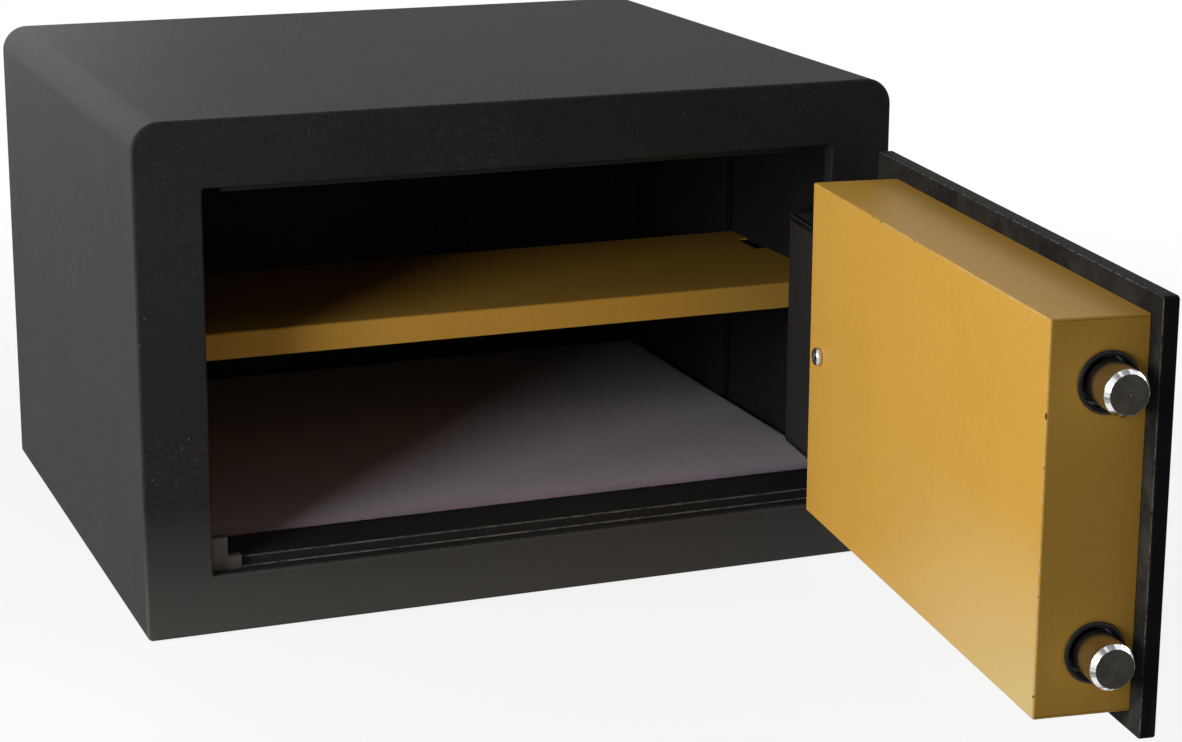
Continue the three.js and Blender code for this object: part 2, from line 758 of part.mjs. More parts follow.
function solenoidBody() {
  const low = plateY + seatGap;
  const body = box(plungerX - solenoidWidth / 2, plungerX + solenoidWidth / 2, low, low + solenoidDepth,
    solenoidBottom, solenoidTop);
  const bore = rodAlongZ(plungerRadius + seatGap, plungerTip - plungerLength - seatGap,
    solenoidTop + overrun, plungerX, plungerY, smallRoundSteps);
  return cut(body, bore);
}

function plunger() {
  return rodAlongZ(plungerRadius, plungerTip - plungerLength, plungerTip,
    plungerX, plungerY, smallRoundSteps);
}

// Keypad housing, buttons, board, batteries and lid
const keypadX = (knobX + lockX) / 2;
const keypadBackY = frontY - seatGap;
const keypadFrontY = keypadBackY - keypadDepth;
const keypadBottom = doorMiddle - keypadHeight / 2;
const keypadTop = doorMiddle + keypadHeight / 2;
const lidBottom = keypadBottom + lidFromBottom;
const buttonNames = ["1", "2", "3", "4", "5", "6", "7", "8", "9", "clear", "0", "enter"];

function buttonPlaces() {
  return buttonNames.map((name, index) => ({
    name,
    x: keypadX + (index % buttonColumns - (buttonColumns - 1) / 2) * buttonColumnPitch,
    z: keypadTop - buttonTopMargin - Math.floor(index / buttonColumns) * buttonRowPitch,
  }));
}

function keypadHousing() {
  const half = keypadWidth / 2;
  const outline = (inset) => roundedRect(keypadX - half + inset, keypadX + half - inset,
    keypadBottom + inset, keypadTop - inset, keypadCorner - inset, keypadCorner - inset);
  const shell = prism(outline(0), keypadFrontY, keypadBackY);
  const hollow = prism(outline(keypadWall), keypadFrontY + keypadWall, keypadBackY + overrun);
  const windowOf = (x, z, wide, high) => box(x - wide / 2, x + wide / 2, keypadFrontY - overrun,
    keypadFrontY + keypadWall + overrun, z - high / 2, z + high / 2);
  const windows = buttonPlaces().map(({ x, z }) => windowOf(x, z,
    buttonWidth + runningGap * 2, buttonHeight + runningGap * 2));
  const lidMiddle = lidBottom + lidHeight / 2;
  const bay = windowOf(keypadX, lidMiddle, lidWidth - lidWindowMargin * 2, lidHeight - lidWindowMargin * 2);
  return cut(shell, hollow, ...windows, bay);
}

function button(x, z) {
  const inside = keypadFrontY + keypadWall + seatGap;
  const cap = box(x - buttonWidth / 2, x + buttonWidth / 2, keypadFrontY - buttonProud,
    inside + buttonFlangeThickness, z - buttonHeight / 2, z + buttonHeight / 2);
  const wide = buttonWidth / 2 + buttonFlange;
  const high = buttonHeight / 2 + buttonFlange;
  const flange = box(x - wide, x + wide, inside, inside + buttonFlangeThickness, z - high, z + high);
  return joined(cap, flange);
}

function keypadBoard() {
  const y0 = keypadFrontY + keypadWall + seatGap + buttonFlangeThickness + buttonTravel + boardBehindButtons;
  const half = keypadWidth / 2 - keypadWall - seatGap;
  const top = keypadTop - keypadCorner;
  return box(keypadX - half, keypadX + half, y0, y0 + boardThickness, top - boardHeight, top);
}

function battery(index) {
  const x = keypadX + (index - (batteryCount - 1) / 2) * batteryPitch;
  const bottom = keypadBottom + keypadWall + batteryBottomGap;
  const y = keypadBackY - batteryRadius - seatGap;
  return rodAlongZ(batteryRadius, bottom, bottom + batteryLength, x, y, smallRoundSteps);
}

function batteryLid() {
  const y1 = keypadFrontY - lidGap;
  return box(keypadX - lidWidth / 2, keypadX + lidWidth / 2, y1 - lidThickness, y1,
    lidBottom, lidBottom + lidHeight);
}

// Emergency lock, drawn about its own axis
function lockCylinder() {
  const face = frontY - seatGap;
  const profile = [
    [rotorRadius + seatGap, face - lockFlangeThickness], [lockFlangeRadius, face - lockFlangeThickness],
    [lockFlangeRadius, face], [lockRadius, face], [lockRadius, plateY + lockInnerReach],
    [rotorRadius + seatGap, plateY + lockInnerReach], [rotorRadius + seatGap, face - lockFlangeThickness],
  ];
  const tube = turned(profile);
  const earFace = face - lockFlangeThickness;
  const ear = rod(keyCoverEarRadius, earFace, face, smallRoundSteps).translate(0, 0, keyCoverRise);
  const neck = box(-keyCoverEarRadius, keyCoverEarRadius, earFace, face, lockRadius, keyCoverRise);
  const pin = rod(keyCoverPinRadius, earFace - keyCoverGap - keyCoverThickness, earFace + overrun,
    smallRoundSteps).translate(0, 0, keyCoverRise);
  return joined(tube, ear, neck, pin).translate(lockX, 0, doorMiddle);
}

function lockRotor() {
  const front = frontY - seatGap - lockFlangeThickness - rotorProud;
  const body = rod(rotorRadius, front, plateY + lockInnerReach);
  const slot = box(-keySlotWidth / 2, keySlotWidth / 2, front - overrun, front + keySlotDepth,
    -keySlotSpan / 2, keySlotSpan / 2);
  return cut(body, slot).translate(lockX, 0, doorMiddle);
}

function lockTongue() {
  const y0 = plateY + lockInnerReach + seatGap;
  const half = tongueWidth / 2;
  return box(lockX - half, lockX + half, y0, y0 + tongueThickness,
    doorMiddle - tongueLength, doorMiddle + half);
}

function keyCover() {
  const y1 = frontY - seatGap - lockFlangeThickness - keyCoverGap;
  const y0 = y1 - keyCoverThickness;
  const disc = rod(keyCoverRadius, y0, y1);
  const ear = rod(keyCoverEarRadius, y0, y1, smallRoundSteps).translate(0, 0, keyCoverRise);
  const neck = box(-keyCoverEarRadius, keyCoverEarRadius, y0, y1, 0, keyCoverRise);
  const hole = rod(keyCoverPinRadius + seatGap, y0 - overrun, y1 + overrun, smallRoundSteps)
    .translate(0, 0, keyCoverRise);
  return cut(joined(disc, ear, neck), hole).translate(lockX, 0, doorMiddle);
}

// Assembly
const safe = new THREE.Group();
safe.add(
  named("front_frame", frontFrame(), finish.blackCoat),
  named("body_wrap", bodyWrap(), finish.blackCoat),
  named("back_panel", backPanel(), finish.blackCoat),
  named("floor_panel", floorPanel(), finish.blackCoat),
  named("floor_mat", floorMat(), finish.felt),
  named("corner_buffer", cornerBuffer(), finish.greyPlastic),
  named("shelf", shelf(), finish.goldPaint),
  named("top_stop", topStop(), finish.blackCoat),
  named("bolt_keeper", boltKeeper(), finish.blackCoat),
);
for (const [side, sign] of [["left", -1], ["right", 1]]) {
  safe.add(
    named(`shelf_bracket_${side}`, shelfBracket(sign), finish.blackCoat),
    named(`shelf_rail_${side}`, shelfRail(sign), finish.blackCoat),
  );
}
for (const [side, sign] of [["upper", 1], ["lower", -1]]) {
  safe.add(
    named(`hinge_lug_${side}`, hingeLug(sign), finish.blackCoat),
    named(`hinge_pin_${side}`, hingePin(sign), finish.steel),
  );
}
for (const [side, x] of anchorPlaces()) {
  safe.add(named(`anchor_plug_${side}`, anchorPlug(x), finish.blackPlastic));
}

// The door is drawn closed and then turned about the hinge's pivot
const doorClosed = new THREE.Group();
doorClosed.position.set(-pivotX, -pivotY, 0);
doorClosed.add(
  named("door_plate", doorPlate(), finish.blackCoat),
  named("door_cover", doorCover(), finish.goldPaint),
  named("cover_post", coverPost(), finish.zinc),
  named("cover_screw", coverScrew(), finish.steel),
  named("hinge_bracket", hingeBracket(), finish.blackCoat),
  named("bolt_guide", boltGuide(), finish.zinc),
  named("bolt_carriage", boltCarriage(), finish.zinc),
  named("knob", knob(), finish.blackPlastic),
  named("knob_spindle", knobSpindle(), finish.steel),
  named("knob_cam", knobCam(), finish.zinc),
  named("solenoid_body", solenoidBody(), finish.zinc),
  named("solenoid_plunger", plunger(), finish.steel),
  named("keypad_housing", keypadHousing(), finish.blackPlastic),
  named("keypad_board", keypadBoard(), finish.board),
  named("battery_lid", batteryLid(), finish.blackPlastic),
  named("lock_cylinder", lockCylinder(), finish.steel),
  named("lock_rotor", lockRotor(), finish.steel),
  named("lock_tongue", lockTongue(), finish.zinc),
  named("key_cover", keyCover(), finish.blackPlastic),
);
for (const [index, side] of ["upper", "lower"].entries()) {
  doorClosed.add(
    named(`bolt_${side}`, bolt(boltHeights[index]), finish.steel),
    named(`bolt_bush_${side}`, boltBush(boltHeights[index]), finish.blackPlastic),
    named(`guide_post_${side}`, guidePost(index === 0 ? 1 : -1), finish.zinc),
  );
}
for (const { name, x, z } of buttonPlaces()) {
  doorClosed.add(named(`button_${name}`, button(x, z), finish.greyPlastic));
}
for (let index = 0; index < batteryCount; index += 1) {
  doorClosed.add(named(`battery_${index + 1}`, battery(index), finish.battery));
}
const door = new THREE.Group();
door.position.set(pivotX, pivotY, 0);
door.rotation.z = THREE.MathUtils.degToRad(doorOpenDegrees);
door.add(doorClosed);
safe.add(door);

export default safe;
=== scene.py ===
import math

import bmesh
import bpy
from mathutils import Matrix, Vector, noise
from mathutils.geometry import tessellate_polygon


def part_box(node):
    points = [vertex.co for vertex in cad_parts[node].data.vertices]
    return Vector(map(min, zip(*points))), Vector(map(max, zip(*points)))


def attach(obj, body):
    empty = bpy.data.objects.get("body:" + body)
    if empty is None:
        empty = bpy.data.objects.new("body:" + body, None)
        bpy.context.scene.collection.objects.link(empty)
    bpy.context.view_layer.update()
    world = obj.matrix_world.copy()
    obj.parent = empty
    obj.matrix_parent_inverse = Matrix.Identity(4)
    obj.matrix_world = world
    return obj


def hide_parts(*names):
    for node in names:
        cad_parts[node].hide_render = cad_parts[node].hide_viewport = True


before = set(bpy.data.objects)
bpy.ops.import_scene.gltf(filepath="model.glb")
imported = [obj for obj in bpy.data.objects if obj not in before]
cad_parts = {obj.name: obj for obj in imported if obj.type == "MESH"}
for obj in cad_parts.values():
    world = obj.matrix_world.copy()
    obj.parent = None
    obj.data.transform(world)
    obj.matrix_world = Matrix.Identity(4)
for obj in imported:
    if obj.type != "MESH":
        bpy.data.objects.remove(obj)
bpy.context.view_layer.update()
MM = 0.001

# Sizes of the part, as its CAD has them
HALF_W, FRONT, BACK, HIGH = 215, -185, 185, 277
SHEET, TOP_R, LOW_R = 2, 15, 3
OPEN_X, OPEN_Z0, OPEN_Z1, OPEN_R = 179, 32, 241, 2
RETURN_Y = -176
FLOOR_TOP = 36
PIVOT = Vector((202, -176.5, 0))
DOOR_X0, DOOR_X1, DOOR_Z0, DOOR_Z1, PLATE_Y = -177, 176.5, 33.5, 239.5, -177
MID = 136.5
COVER_X0, COVER_X1, COVER_Z0, COVER_Z1, COVER_Y = -166, 147, 43.5, 229.5, -129
BOLT_Y, BOLT_ZS = -158, {"upper": 199.5, "lower": 73.5}
BOLT_ROOT = -132
SCREW_X = COVER_X1 - 17
HINGE = 66
KNOB_X, LOCK_X = -90, 106
PAD_X, PAD_Y = 8, -209.3
PAD_Z0, PAD_Z1 = MID - 71, MID + 71
ANCHOR_X, ANCHOR_Z = 100, 200

# The clearance that pieces keep, and the inner side wall, the inner back and the door's outer face with it
GAP = 0.3
WALL = HALF_W - SHEET - GAP
REAR = BACK - SHEET - GAP
FACE = FRONT - GAP


def moved(x=0, y=0, z=0):
    return Matrix.Translation((x, y, z))


def turned(degrees, axis):
    return Matrix.Rotation(math.radians(degrees), 4, axis)


# Places: the door turned open about its pins, and shapes drawn in X and Y stood up. UPRIGHT puts them in
# X and Z with their height to -Y, SIDEWAYS in Y and Z with their height to +X.
DOOR = moved(*PIVOT) @ turned(83, "Z") @ moved(*-PIVOT)
UPRIGHT = turned(90, "X")
SIDEWAYS = Matrix(((0, 0, 1, 0), (1, 0, 0, 0), (0, 1, 0, 0), (0, 0, 0, 1)))


# Outlines and shapes
def arc(cx, cy, r, start, end, steps=8):
    span = [math.radians(start + (end - start) * i / steps) for i in range(steps + 1)]
    return [(cx + r * math.cos(t), cy + r * math.sin(t)) for t in span]


def circle(cx, cy, r, steps=48):
    return arc(cx, cy, r, 0, 360, steps)[:-1]


def quarter(steps):
    """The points (1 - cos, 1 - sin) of a rounded bend, as shares of its radius."""
    turns = [math.radians(90 * i / steps) for i in range(steps + 1)]
    return [(1 - math.cos(t), 1 - math.sin(t)) for t in turns]


def rounded(x0, x1, z0, z1, low, high=None, steps=6):
    """A rectangle with its lower corners rounded by low and its upper ones by high."""
    high = low if high is None else high
    return (
        arc(x1 - low, z0 + low, low, -90, 0, steps)
        + arc(x1 - high, z1 - high, high, 0, 90, steps)
        + arc(x0 + high, z1 - high, high, 90, 180, steps)
        + arc(x0 + low, z0 + low, low, 180, 270, steps)
    )


def inset(points, by):
    """A counterclockwise outline moved inwards by a distance, or outwards if it is negative."""
    out = []
    for i, (x, y) in enumerate(points):
        before, after = Vector(points[i - 1]), Vector(points[(i + 1) % len(points)])
        here = Vector((x, y))
        a, b = (here - before).normalized(), (after - here).normalized()
        na, nb = Vector((-a.y, a.x)), Vector((-b.y, b.x))
        step = (na + nb) * (by / max(1 + na.dot(nb), 0.3))
        out.append((x + step.x, y + step.y))
    return out


class Shape:
    """Vertices in millimetres, faces, an edge weight for each vertex that marks rubbed paint and, on some
    pieces, painted highlights, and a material number for each face.
    """

    def __init__(self):
        self.verts, self.faces, self.wear_and_highlight, self.mats = [], [], [], []

    def put(self, verts, faces, place=Matrix(), wear_and_highlight=None, mat=0):
        base = len(self.verts)
        self.verts += [place @ Vector(v) for v in verts]
        self.faces += [[base + i for i in f] for f in faces]
        self.wear_and_highlight += wear_and_highlight or [0.0] * len(verts)
        self.mats += [mat] * len(faces)
        return self

    def loft(self, rings, closed=False, wears=None):
        """Joins rings of equally many points, with caps on the ends or closed from the last to the first."""
        n = len(rings[0])
        verts = [v for ring in rings for v in ring]
        faces = []
        for k in range(len(rings) if closed else len(rings) - 1):
            a, b = k * n, (k + 1) % len(rings) * n
            faces += [[a + i, a + (i + 1) % n, b + (i + 1) % n, b + i] for i in range(n)]
        if not closed:
            faces += [list(range(n))[::-1], [(len(rings) - 1) * n + i for i in range(n)]]
        weights = [w for w in wears for _ in range(n)] if wears else None
        return self.put(verts, faces, wear_and_highlight=weights)

    def lathe(self, profile, place=Matrix(), steps=64, mat=0):
        """Turns a profile of (radius, height) about +Z. Ends on the axis are closed with a point."""
        rings, verts, faces = [], [], []
        for r, h in profile:
            count = 1 if r < 1e-6 else steps
            rings.append([len(verts) + i for i in range(count)])
            for i in range(count):
                t = 2 * math.pi * i / steps
                verts.append((r * math.cos(t), r * math.sin(t), h))
        closed = profile[0] == profile[-1]
        if closed:
            rings[-1] = rings[0]
        for a, b in zip(rings, rings[1:]):
            for i in range(steps):
                j = (i + 1) % steps
                quad = [a[i % len(a)], a[j % len(a)], b[j % len(b)], b[i % len(b)]]
                face = list(dict.fromkeys(quad))
                if len(face) > 2:
                    faces.append(face)
        if closed:
            verts = verts[:-steps]
        return self.put(verts, faces, place, mat=mat)

    def plate(self, outline, thick, place=Matrix(), holes=(), edge=0.5, steps=2, mat=0):
        """A flat plate from height 0 to thick with rounded edges, also round its holes."""
        levels = [(edge * b, edge * a) for a, b in quarter(steps)]
        levels += [(s, thick - h) for s, h in reversed(levels)]
        middle = {steps // 2, len(levels) - 1 - steps // 2}
        caps = {0: [], 1: []}
        order = []
        for hole, points in enumerate([outline, *holes]):
            rings = [[(x, y, h) for x, y in inset(points, -s if hole else s)] for s, h in levels]
            n = len(points)
            base = len(self.verts)
            faces = []
            for k in range(len(rings) - 1):
                for i in range(n):
                    j = (i + 1) % n
                    quad = [k * n + i, k * n + j, (k + 1) * n + j, (k + 1) * n + i]
                    faces.append(quad[::-1] if hole else quad)
            weights = [1.0 if k in middle else 0.0 for k in range(len(rings)) for _ in range(n)]
            self.put([v for r in rings for v in r], faces, place, weights, mat)
            order += [(base + i, base + (len(rings) - 1) * n + i) for i in range(n)]
            caps[0].append([Vector(v) for v in rings[0]])
            caps[1].append([Vector(v) for v in rings[-1]])
        for side in (0, 1):
            for tri in tessellate_polygon(caps[side]):
                self.faces.append([order[i][side] for i in tri])
                self.mats.append(mat)
        return self

    def block(self, x0, x1, y0, y1, z0, z1, edge=0.5, place=Matrix(), steps=2, mat=0):
        corner = max(edge * 1.05, 0.02)
        return self.plate(
            rounded(x0, x1, y0, y1, corner, steps=steps), z1 - z0, place @ moved(0, 0, z0),
            edge=edge, steps=steps, mat=mat,
        )

    def sheet(self, line, thick, bend, x0, x1, edge=0.25, under=None):
        """A sheet folded along a line of (y, z) points, rounded at its bends, from x0 to x1."""
        soft = soften(line, bend)
        outline = soft + (under or offset_line(soft, thick))[::-1]
        if area(outline) < 0:
            outline.reverse()
        return self.plate(outline, x1 - x0, moved(x0) @ SIDEWAYS, edge=edge, steps=1)

    def rub_and_highlight(self, near):
        """Sets the edge weight to 1 where near(x, y, z) is true, for rubbed paint and a painted highlight.
        """
        self.wear_and_highlight = [1.0 if near(*v) else w for v, w in zip(self.verts, self.wear_and_highlight)]
        return self

    def make(self, name, looks, body, place=Matrix(), smooth=32, slot=None, replaces=(), carve=()):
        """Makes the piece, lets it ride on its body and returns it."""
        mesh = bpy.data.meshes.new(name)
        mesh.from_pydata([Vector(v) * MM for v in self.verts], [], self.faces)
        wear_and_highlight = mesh.attributes.new("wear_and_highlight", "FLOAT", "POINT")
        wear_and_highlight.data.foreach_set("value", self.wear_and_highlight)
        mesh.polygons.foreach_set("material_index", self.mats)
        obj = bpy.data.objects.new(name, mesh)
        bpy.context.scene.collection.objects.link(obj)
        for mat in looks if isinstance(looks, list) else [looks]:
            mesh.materials.append(mat.mat)
        tidy_normals(obj)
        if carve:
            carve_out(obj, carve)
        soften_shading(obj, smooth)
        obj.matrix_world = in_metres(place)
        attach(obj, body)
        if replaces:
            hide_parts(*replaces)
        return obj


def in_metres(place):
    out = place.copy()
    out.translation = place.translation * MM
    return out


def area(points):
    return sum(a[0] * b[1] - b[0] * a[1] for a, b in zip(points, points[1:] + points[:1])) / 2


def soften(line, radius):
    """A line of points with each inner corner replaced by an arc."""
    steps = 4
    out = [line[0]]
    for before, here, after in zip(line, line[1:], line[2:]):
        p, a, b = Vector(here), Vector(before) - Vector(here), Vector(after) - Vector(here)
        angle = a.angle(b)
        cutback = min(radius / math.tan(angle / 2), a.length * 0.45, b.length * 0.45)
        start, end = p + a.normalized() * cutback, p + b.normalized() * cutback
        for i in range(steps + 1):
            t = i / steps
            q = start * (1 - t) ** 2 + p * (2 * t * (1 - t)) + end * t * t
            out.append((q.x, q.y))
    return out + [line[-1]]


def offset_line(line, by):
    """An open line moved to its right side by a distance."""
    out = []
    for i, here in enumerate(line):
        p = Vector(here)
        a = (p - Vector(line[i - 1])).normalized() if i else None
        b = (Vector(line[i + 1]) - p).normalized() if i < len(line) - 1 else None
        a, b = a or b, b or a
        na, nb = Vector((a.y, -a.x)), Vector((b.y, -b.x))
        step = (na + nb) * (by / (1 + na.dot(nb)))
        out.append((p.x + step.x, p.y + step.y))
    return out


def tidy_normals(obj):
    bm = bmesh.new()
    bm.from_mesh(obj.data)
    bmesh.ops.remove_doubles(bm, verts=bm.verts, dist=1e-7)
    bmesh.ops.dissolve_degenerate(bm, edges=bm.edges, dist=1e-7)
    bmesh.ops.recalc_face_normals(bm, faces=bm.faces)
    bm.to_mesh(obj.data)
    bm.free()


def carve_out(obj, cutters):
    """Cuts the cutters' shapes out of obj and keeps the result as its mesh."""
    tools = []
    for k, cutter in enumerate(cutters):
        mesh = bpy.data.meshes.new(f"cutter_{k}")
        mesh.from_pydata([Vector(v) * MM for v in cutter.verts], [], cutter.faces)
        tool = bpy.data.objects.new(mesh.name, mesh)
        bpy.context.scene.collection.objects.link(tool)
        tidy_normals(tool)
        modifier = obj.modifiers.new(f"cut_{k}", "BOOLEAN")
        modifier.operation, modifier.solver, modifier.object = "DIFFERENCE", "EXACT", tool
        tools.append(tool)
    bpy.context.view_layer.update()
    ready = obj.evaluated_get(bpy.context.evaluated_depsgraph_get())
    result = bpy.data.meshes.new_from_object(ready)
    obj.modifiers.clear()
    obj.data = result
    for tool in tools:
        bpy.data.objects.remove(tool)


def soften_shading(obj, degrees):
    obj.data.polygons.foreach_set("use_smooth", [True] * len(obj.data.polygons))
    obj.data.set_sharp_from_angle(angle=math.radians(degrees))
    modifier = obj.modifiers.new("weighted", "WEIGHTED_NORMAL")
    modifier.keep_sharp = True
    modifier.weight = 100


# Materials
class Look:
    """A material with one Principled shader, built from small node helpers."""

    def __init__(self, name, **sockets):
        self.mat = bpy.data.materials.new(name)
        self.mat.use_nodes = True
        self.tree = self.mat.node_tree
        self.tree.nodes.clear()
        out = self.tree.nodes.new("ShaderNodeOutputMaterial")
        self.shader = self.tree.nodes.new("ShaderNodeBsdfPrincipled")
        self.tree.links.new(self.shader.outputs[0], out.inputs["Surface"])
        self.coords = self.tree.nodes.new("ShaderNodeTexCoord").outputs["Object"]
        for key, value in sockets.items():
            self.set(key.replace("_", " "), value)

    def set(self, socket, value):
        target = self.shader.inputs[socket]
        if isinstance(value, bpy.types.NodeSocket):
            self.tree.links.new(value, target)
        elif isinstance(value, tuple):
            target.default_value = (*value, 1)
        else:
            target.default_value = value

    def node(self, kind, inputs=(), **settings):
        made = self.tree.nodes.new(kind)
        for key, value in settings.items():
            setattr(made, key, value)
        for key, value in dict(inputs).items():
            if isinstance(value, bpy.types.NodeSocket):
                self.tree.links.new(value, made.inputs[key])
            else:
                made.inputs[key].default_value = value
        return made

    def stretched(self, x, y, z):
        return self.node("ShaderNodeMapping", {"Vector": self.coords, "Scale": (x, y, z)}).outputs[0]

    def noise(self, scale, detail=2.0, rough=0.5, coords=None, distortion=0.0):
        return self.node(
            "ShaderNodeTexNoise",
            {"Vector": coords or self.coords, "Scale": scale, "Detail": detail, "Roughness": rough,
             "Distortion": distortion},
        ).outputs["Fac"]

    def line_noise(self, along, scale, detail):
        inputs = {"W": along, "Scale": scale, "Detail": detail}
        return self.node("ShaderNodeTexNoise", inputs, noise_dimensions="1D").outputs["Fac"]

    def cells(self, scale, coords=None, feature="F1"):
        return self.node(
            "ShaderNodeTexVoronoi", {"Vector": coords or self.coords, "Scale": scale}, feature=feature
        ).outputs["Distance"]

    def axes(self):
        return self.node("ShaderNodeSeparateXYZ", {"Vector": self.coords}).outputs

    def math(self, operation, a, b=0.5, clamp=False):
        return self.node("ShaderNodeMath", {0: a, 1: b}, operation=operation, use_clamp=clamp).outputs[0]

    def band(self, value, low, high, to_low=0.0, to_high=1.0):
        return self.node(
            "ShaderNodeMapRange",
            {"Value": value, "From Min": low, "From Max": high, "To Min": to_low, "To Max": to_high},
        ).outputs[0]

    def mix(self, share, a, b):
        made = self.node("ShaderNodeMix", data_type="RGBA")
        for index, value in ((0, share), (6, a), (7, b)):
            if isinstance(value, bpy.types.NodeSocket):
                self.tree.links.new(value, made.inputs[index])
            else:
                made.inputs[index].default_value = (*value, 1) if isinstance(value, tuple) else value
        return made.outputs[2]

    def bump(self, height, strength, depth_mm, normal=None):
        inputs = {"Height": height, "Strength": strength, "Distance": depth_mm * MM}
        if normal:
            inputs["Normal"] = normal
        return self.node("ShaderNodeBump", inputs).outputs[0]

    def wear_and_highlight(self):
        return self.node("ShaderNodeAttribute", attribute_name="wear_and_highlight").outputs["Fac"]

    def worn_and_highlit(self, base, bare_and_highlight, grain=260, low=0.52, high=0.66, share=1.0):
        """base with lighter patches where the edge weight and a noise agree, along the edges: rubbed paint,
        and on the sill's beads and the door slab's edges also a painted highlight.
        """
        patches = self.band(self.noise(grain, 4, 0.6), low, high)
        soft = self.band(self.wear_and_highlight(), 0.35, 0.95)
        amount = self.math("MULTIPLY", self.math("MULTIPLY", patches, soft, True), share)
        return self.mix(amount, base, bare_and_highlight)


def black_coat(name, share, bare_and_highlight=0.075, patches=(0.5, 0.75, 0.6), dust=0.56, smudged_and_bounce_lit=False):
    """Black leather-grained coat with lighter veins as painted highlights on the grain, lighter low on the
    front as painted bounce light from the floor, and, for the door, dust smudges on the inner face that are
    lightened lower down as painted bounce light.
    """

    def tint(r, g, b):
        return (r * share, g * share, b * share)

    look = Look(name, Roughness=0.6, Specular_IOR_Level=0.05 * share)
    fine = look.noise(1150, 2.5, 0.55)
    leather = look.noise(480, 2, 0.5, None, 2.2)
    creased = look.band(look.noise(16, 2), 0.42, 0.62, 0.25, 1.0)
    broad = look.noise(9, 3, 0.55)
    tone = look.band(broad, 0.3, 0.7)
    base = look.mix(tone, tint(0.0103, 0.0102, 0.0102), tint(0.0148, 0.0146, 0.0146))
    _, y, z = look.axes()
    # low and front mask the bottom of the front face, where a lighter colour is mixed in below as painted
    # bounce light from the floor
    low = look.band(z, 0.075, 0.0, 0.0, 0.75)
    front = look.band(y, FRONT * MM + 0.004, FRONT * MM + 0.001)
    grain = look.mix(look.band(fine, 0.35, 0.7), base, tint(0.0214, 0.0212, 0.021))
    # Lighter veins along the grain's creases: a painted highlight on the grain
    vein_highlights = look.math("MULTIPLY", look.band(leather, 0.52, 0.64), look.math("MULTIPLY", creased, 0.8))
    grain = look.mix(vein_highlights, grain, tint(0.034, 0.034, 0.0345))
    # Painted bounce light: the front face grows lighter towards the bottom
    grain = look.mix(look.math("MULTIPLY", low, front), grain, tint(0.104, 0.102, 0.096))
    # On the door's inner face: dust smudges, lightened lower down as painted bounce light where the cover
    # shades the face
    if smudged_and_bounce_lit:
        inner = look.band(y, PLATE_Y * MM - 0.0012, PLATE_Y * MM - 0.0003)
        smudges_and_bounce = look.math("MULTIPLY", look.band(look.noise(42, 4, 0.7), 0.42, 0.62, 0.2, 1.0), inner)
        height = look.band(z, 0.236, 0.2, 0.5, 0.95)
        grain = look.mix(look.math("MULTIPLY", smudges_and_bounce, height), grain, (0.042, 0.039, 0.034))
    specks = look.band(look.cells(95), 0.055, 0.03)
    dusty = look.math("MULTIPLY", specks, look.band(look.noise(23, 1), dust, dust + 0.08), True)
    speckled = look.mix(look.math("MULTIPLY", dusty, 0.7), grain, (0.16, 0.152, 0.136))
    look.set("Base Color", look.worn_and_highlit(speckled, tint(bare_and_highlight, bare_and_highlight * 0.96, bare_and_highlight * 0.9), 180, *patches))
    look.set("Roughness", look.band(fine, 0.25, 0.75, 0.5, 0.66))
    folds = look.math("MULTIPLY", leather, creased)
    skin = look.bump(folds, 0.5, 0.3)
    look.set("Normal", look.bump(fine, 0.3, 0.09, look.bump(look.noise(5, 1), 0.12, 1.2, skin)))
    return look


def gold_paint():
    """Ochre-gold paint with a fine peel, chipped bends, and a pale painted reflection of the floor low on
    the cover towards its free side.
    """
    look = Look("gold_paint", Roughness=0.42, Specular_IOR_Level=0.06)
    broad = look.noise(11, 3, 0.6)
    peel = look.noise(330, 2, 0.5)
    fine = look.noise(1400, 2, 0.5)
    base = look.mix(look.band(broad, 0.3, 0.72), (0.535, 0.29, 0.041), (0.59, 0.327, 0.054))
    flecks = look.mix(look.band(fine, 0.3, 0.75), base, (0.61, 0.35, 0.07))
    x, y, z = look.axes()
    # Painted reflection: the cover's face turns paler low down towards its free side, where it would mirror
    # the floor
    corner = look.math("MULTIPLY", look.band(z, 0.135, 0.045, 0.0, 0.95), look.band(x, 0.04, -0.16))
    painted_floor_reflection = look.math("MULTIPLY", corner, look.band(y, (PLATE_Y + 46.6) * MM, (PLATE_Y + 47.6) * MM))
    flecks = look.mix(painted_floor_reflection, flecks, (0.63, 0.48, 0.205))
    pits = look.band(look.cells(70), 0.03, 0.018)
    marked = look.math("MULTIPLY", pits, look.band(look.noise(17, 1), 0.6, 0.66), True)
    dotted = look.mix(look.math("MULTIPLY", marked, 0.7), flecks, (0.22, 0.12, 0.03))
    rubbed = look.worn_and_highlit(dotted, (0.66, 0.5, 0.24), 120, 0.44, 0.7, 0.75)
    chips, bends = look.band(look.noise(170, 2), 0.64, 0.67), look.band(look.wear_and_highlight(), 0.3, 0.7)
    nicks = look.math("MULTIPLY", chips, bends, True)
    look.set("Base Color", look.mix(nicks, rubbed, (0.06, 0.035, 0.015)))
    look.set("Roughness", look.band(peel, 0.3, 0.7, 0.37, 0.47))
    look.set("Normal", look.bump(fine, 0.15, 0.04, look.bump(peel, 0.35, 0.2)))
    return look


def metal(name, colour, dark, rough_low, rough_high, stretch):
    """Steel with streaks along the axis that stretch makes small, and darker blotches."""
    look = Look(name, Metallic=1.0)
    streaks = look.noise(700, 3, 0.6, look.stretched(*stretch))
    blotch = look.noise(60, 3, 0.6)
    look.set("Base Color", look.mix(look.band(blotch, 0.3, 0.75), colour, dark))
    look.set("Roughness", look.band(streaks, 0.3, 0.7, rough_low, rough_high))
    look.set("Normal", look.bump(streaks, 0.2, 0.02))
    return look


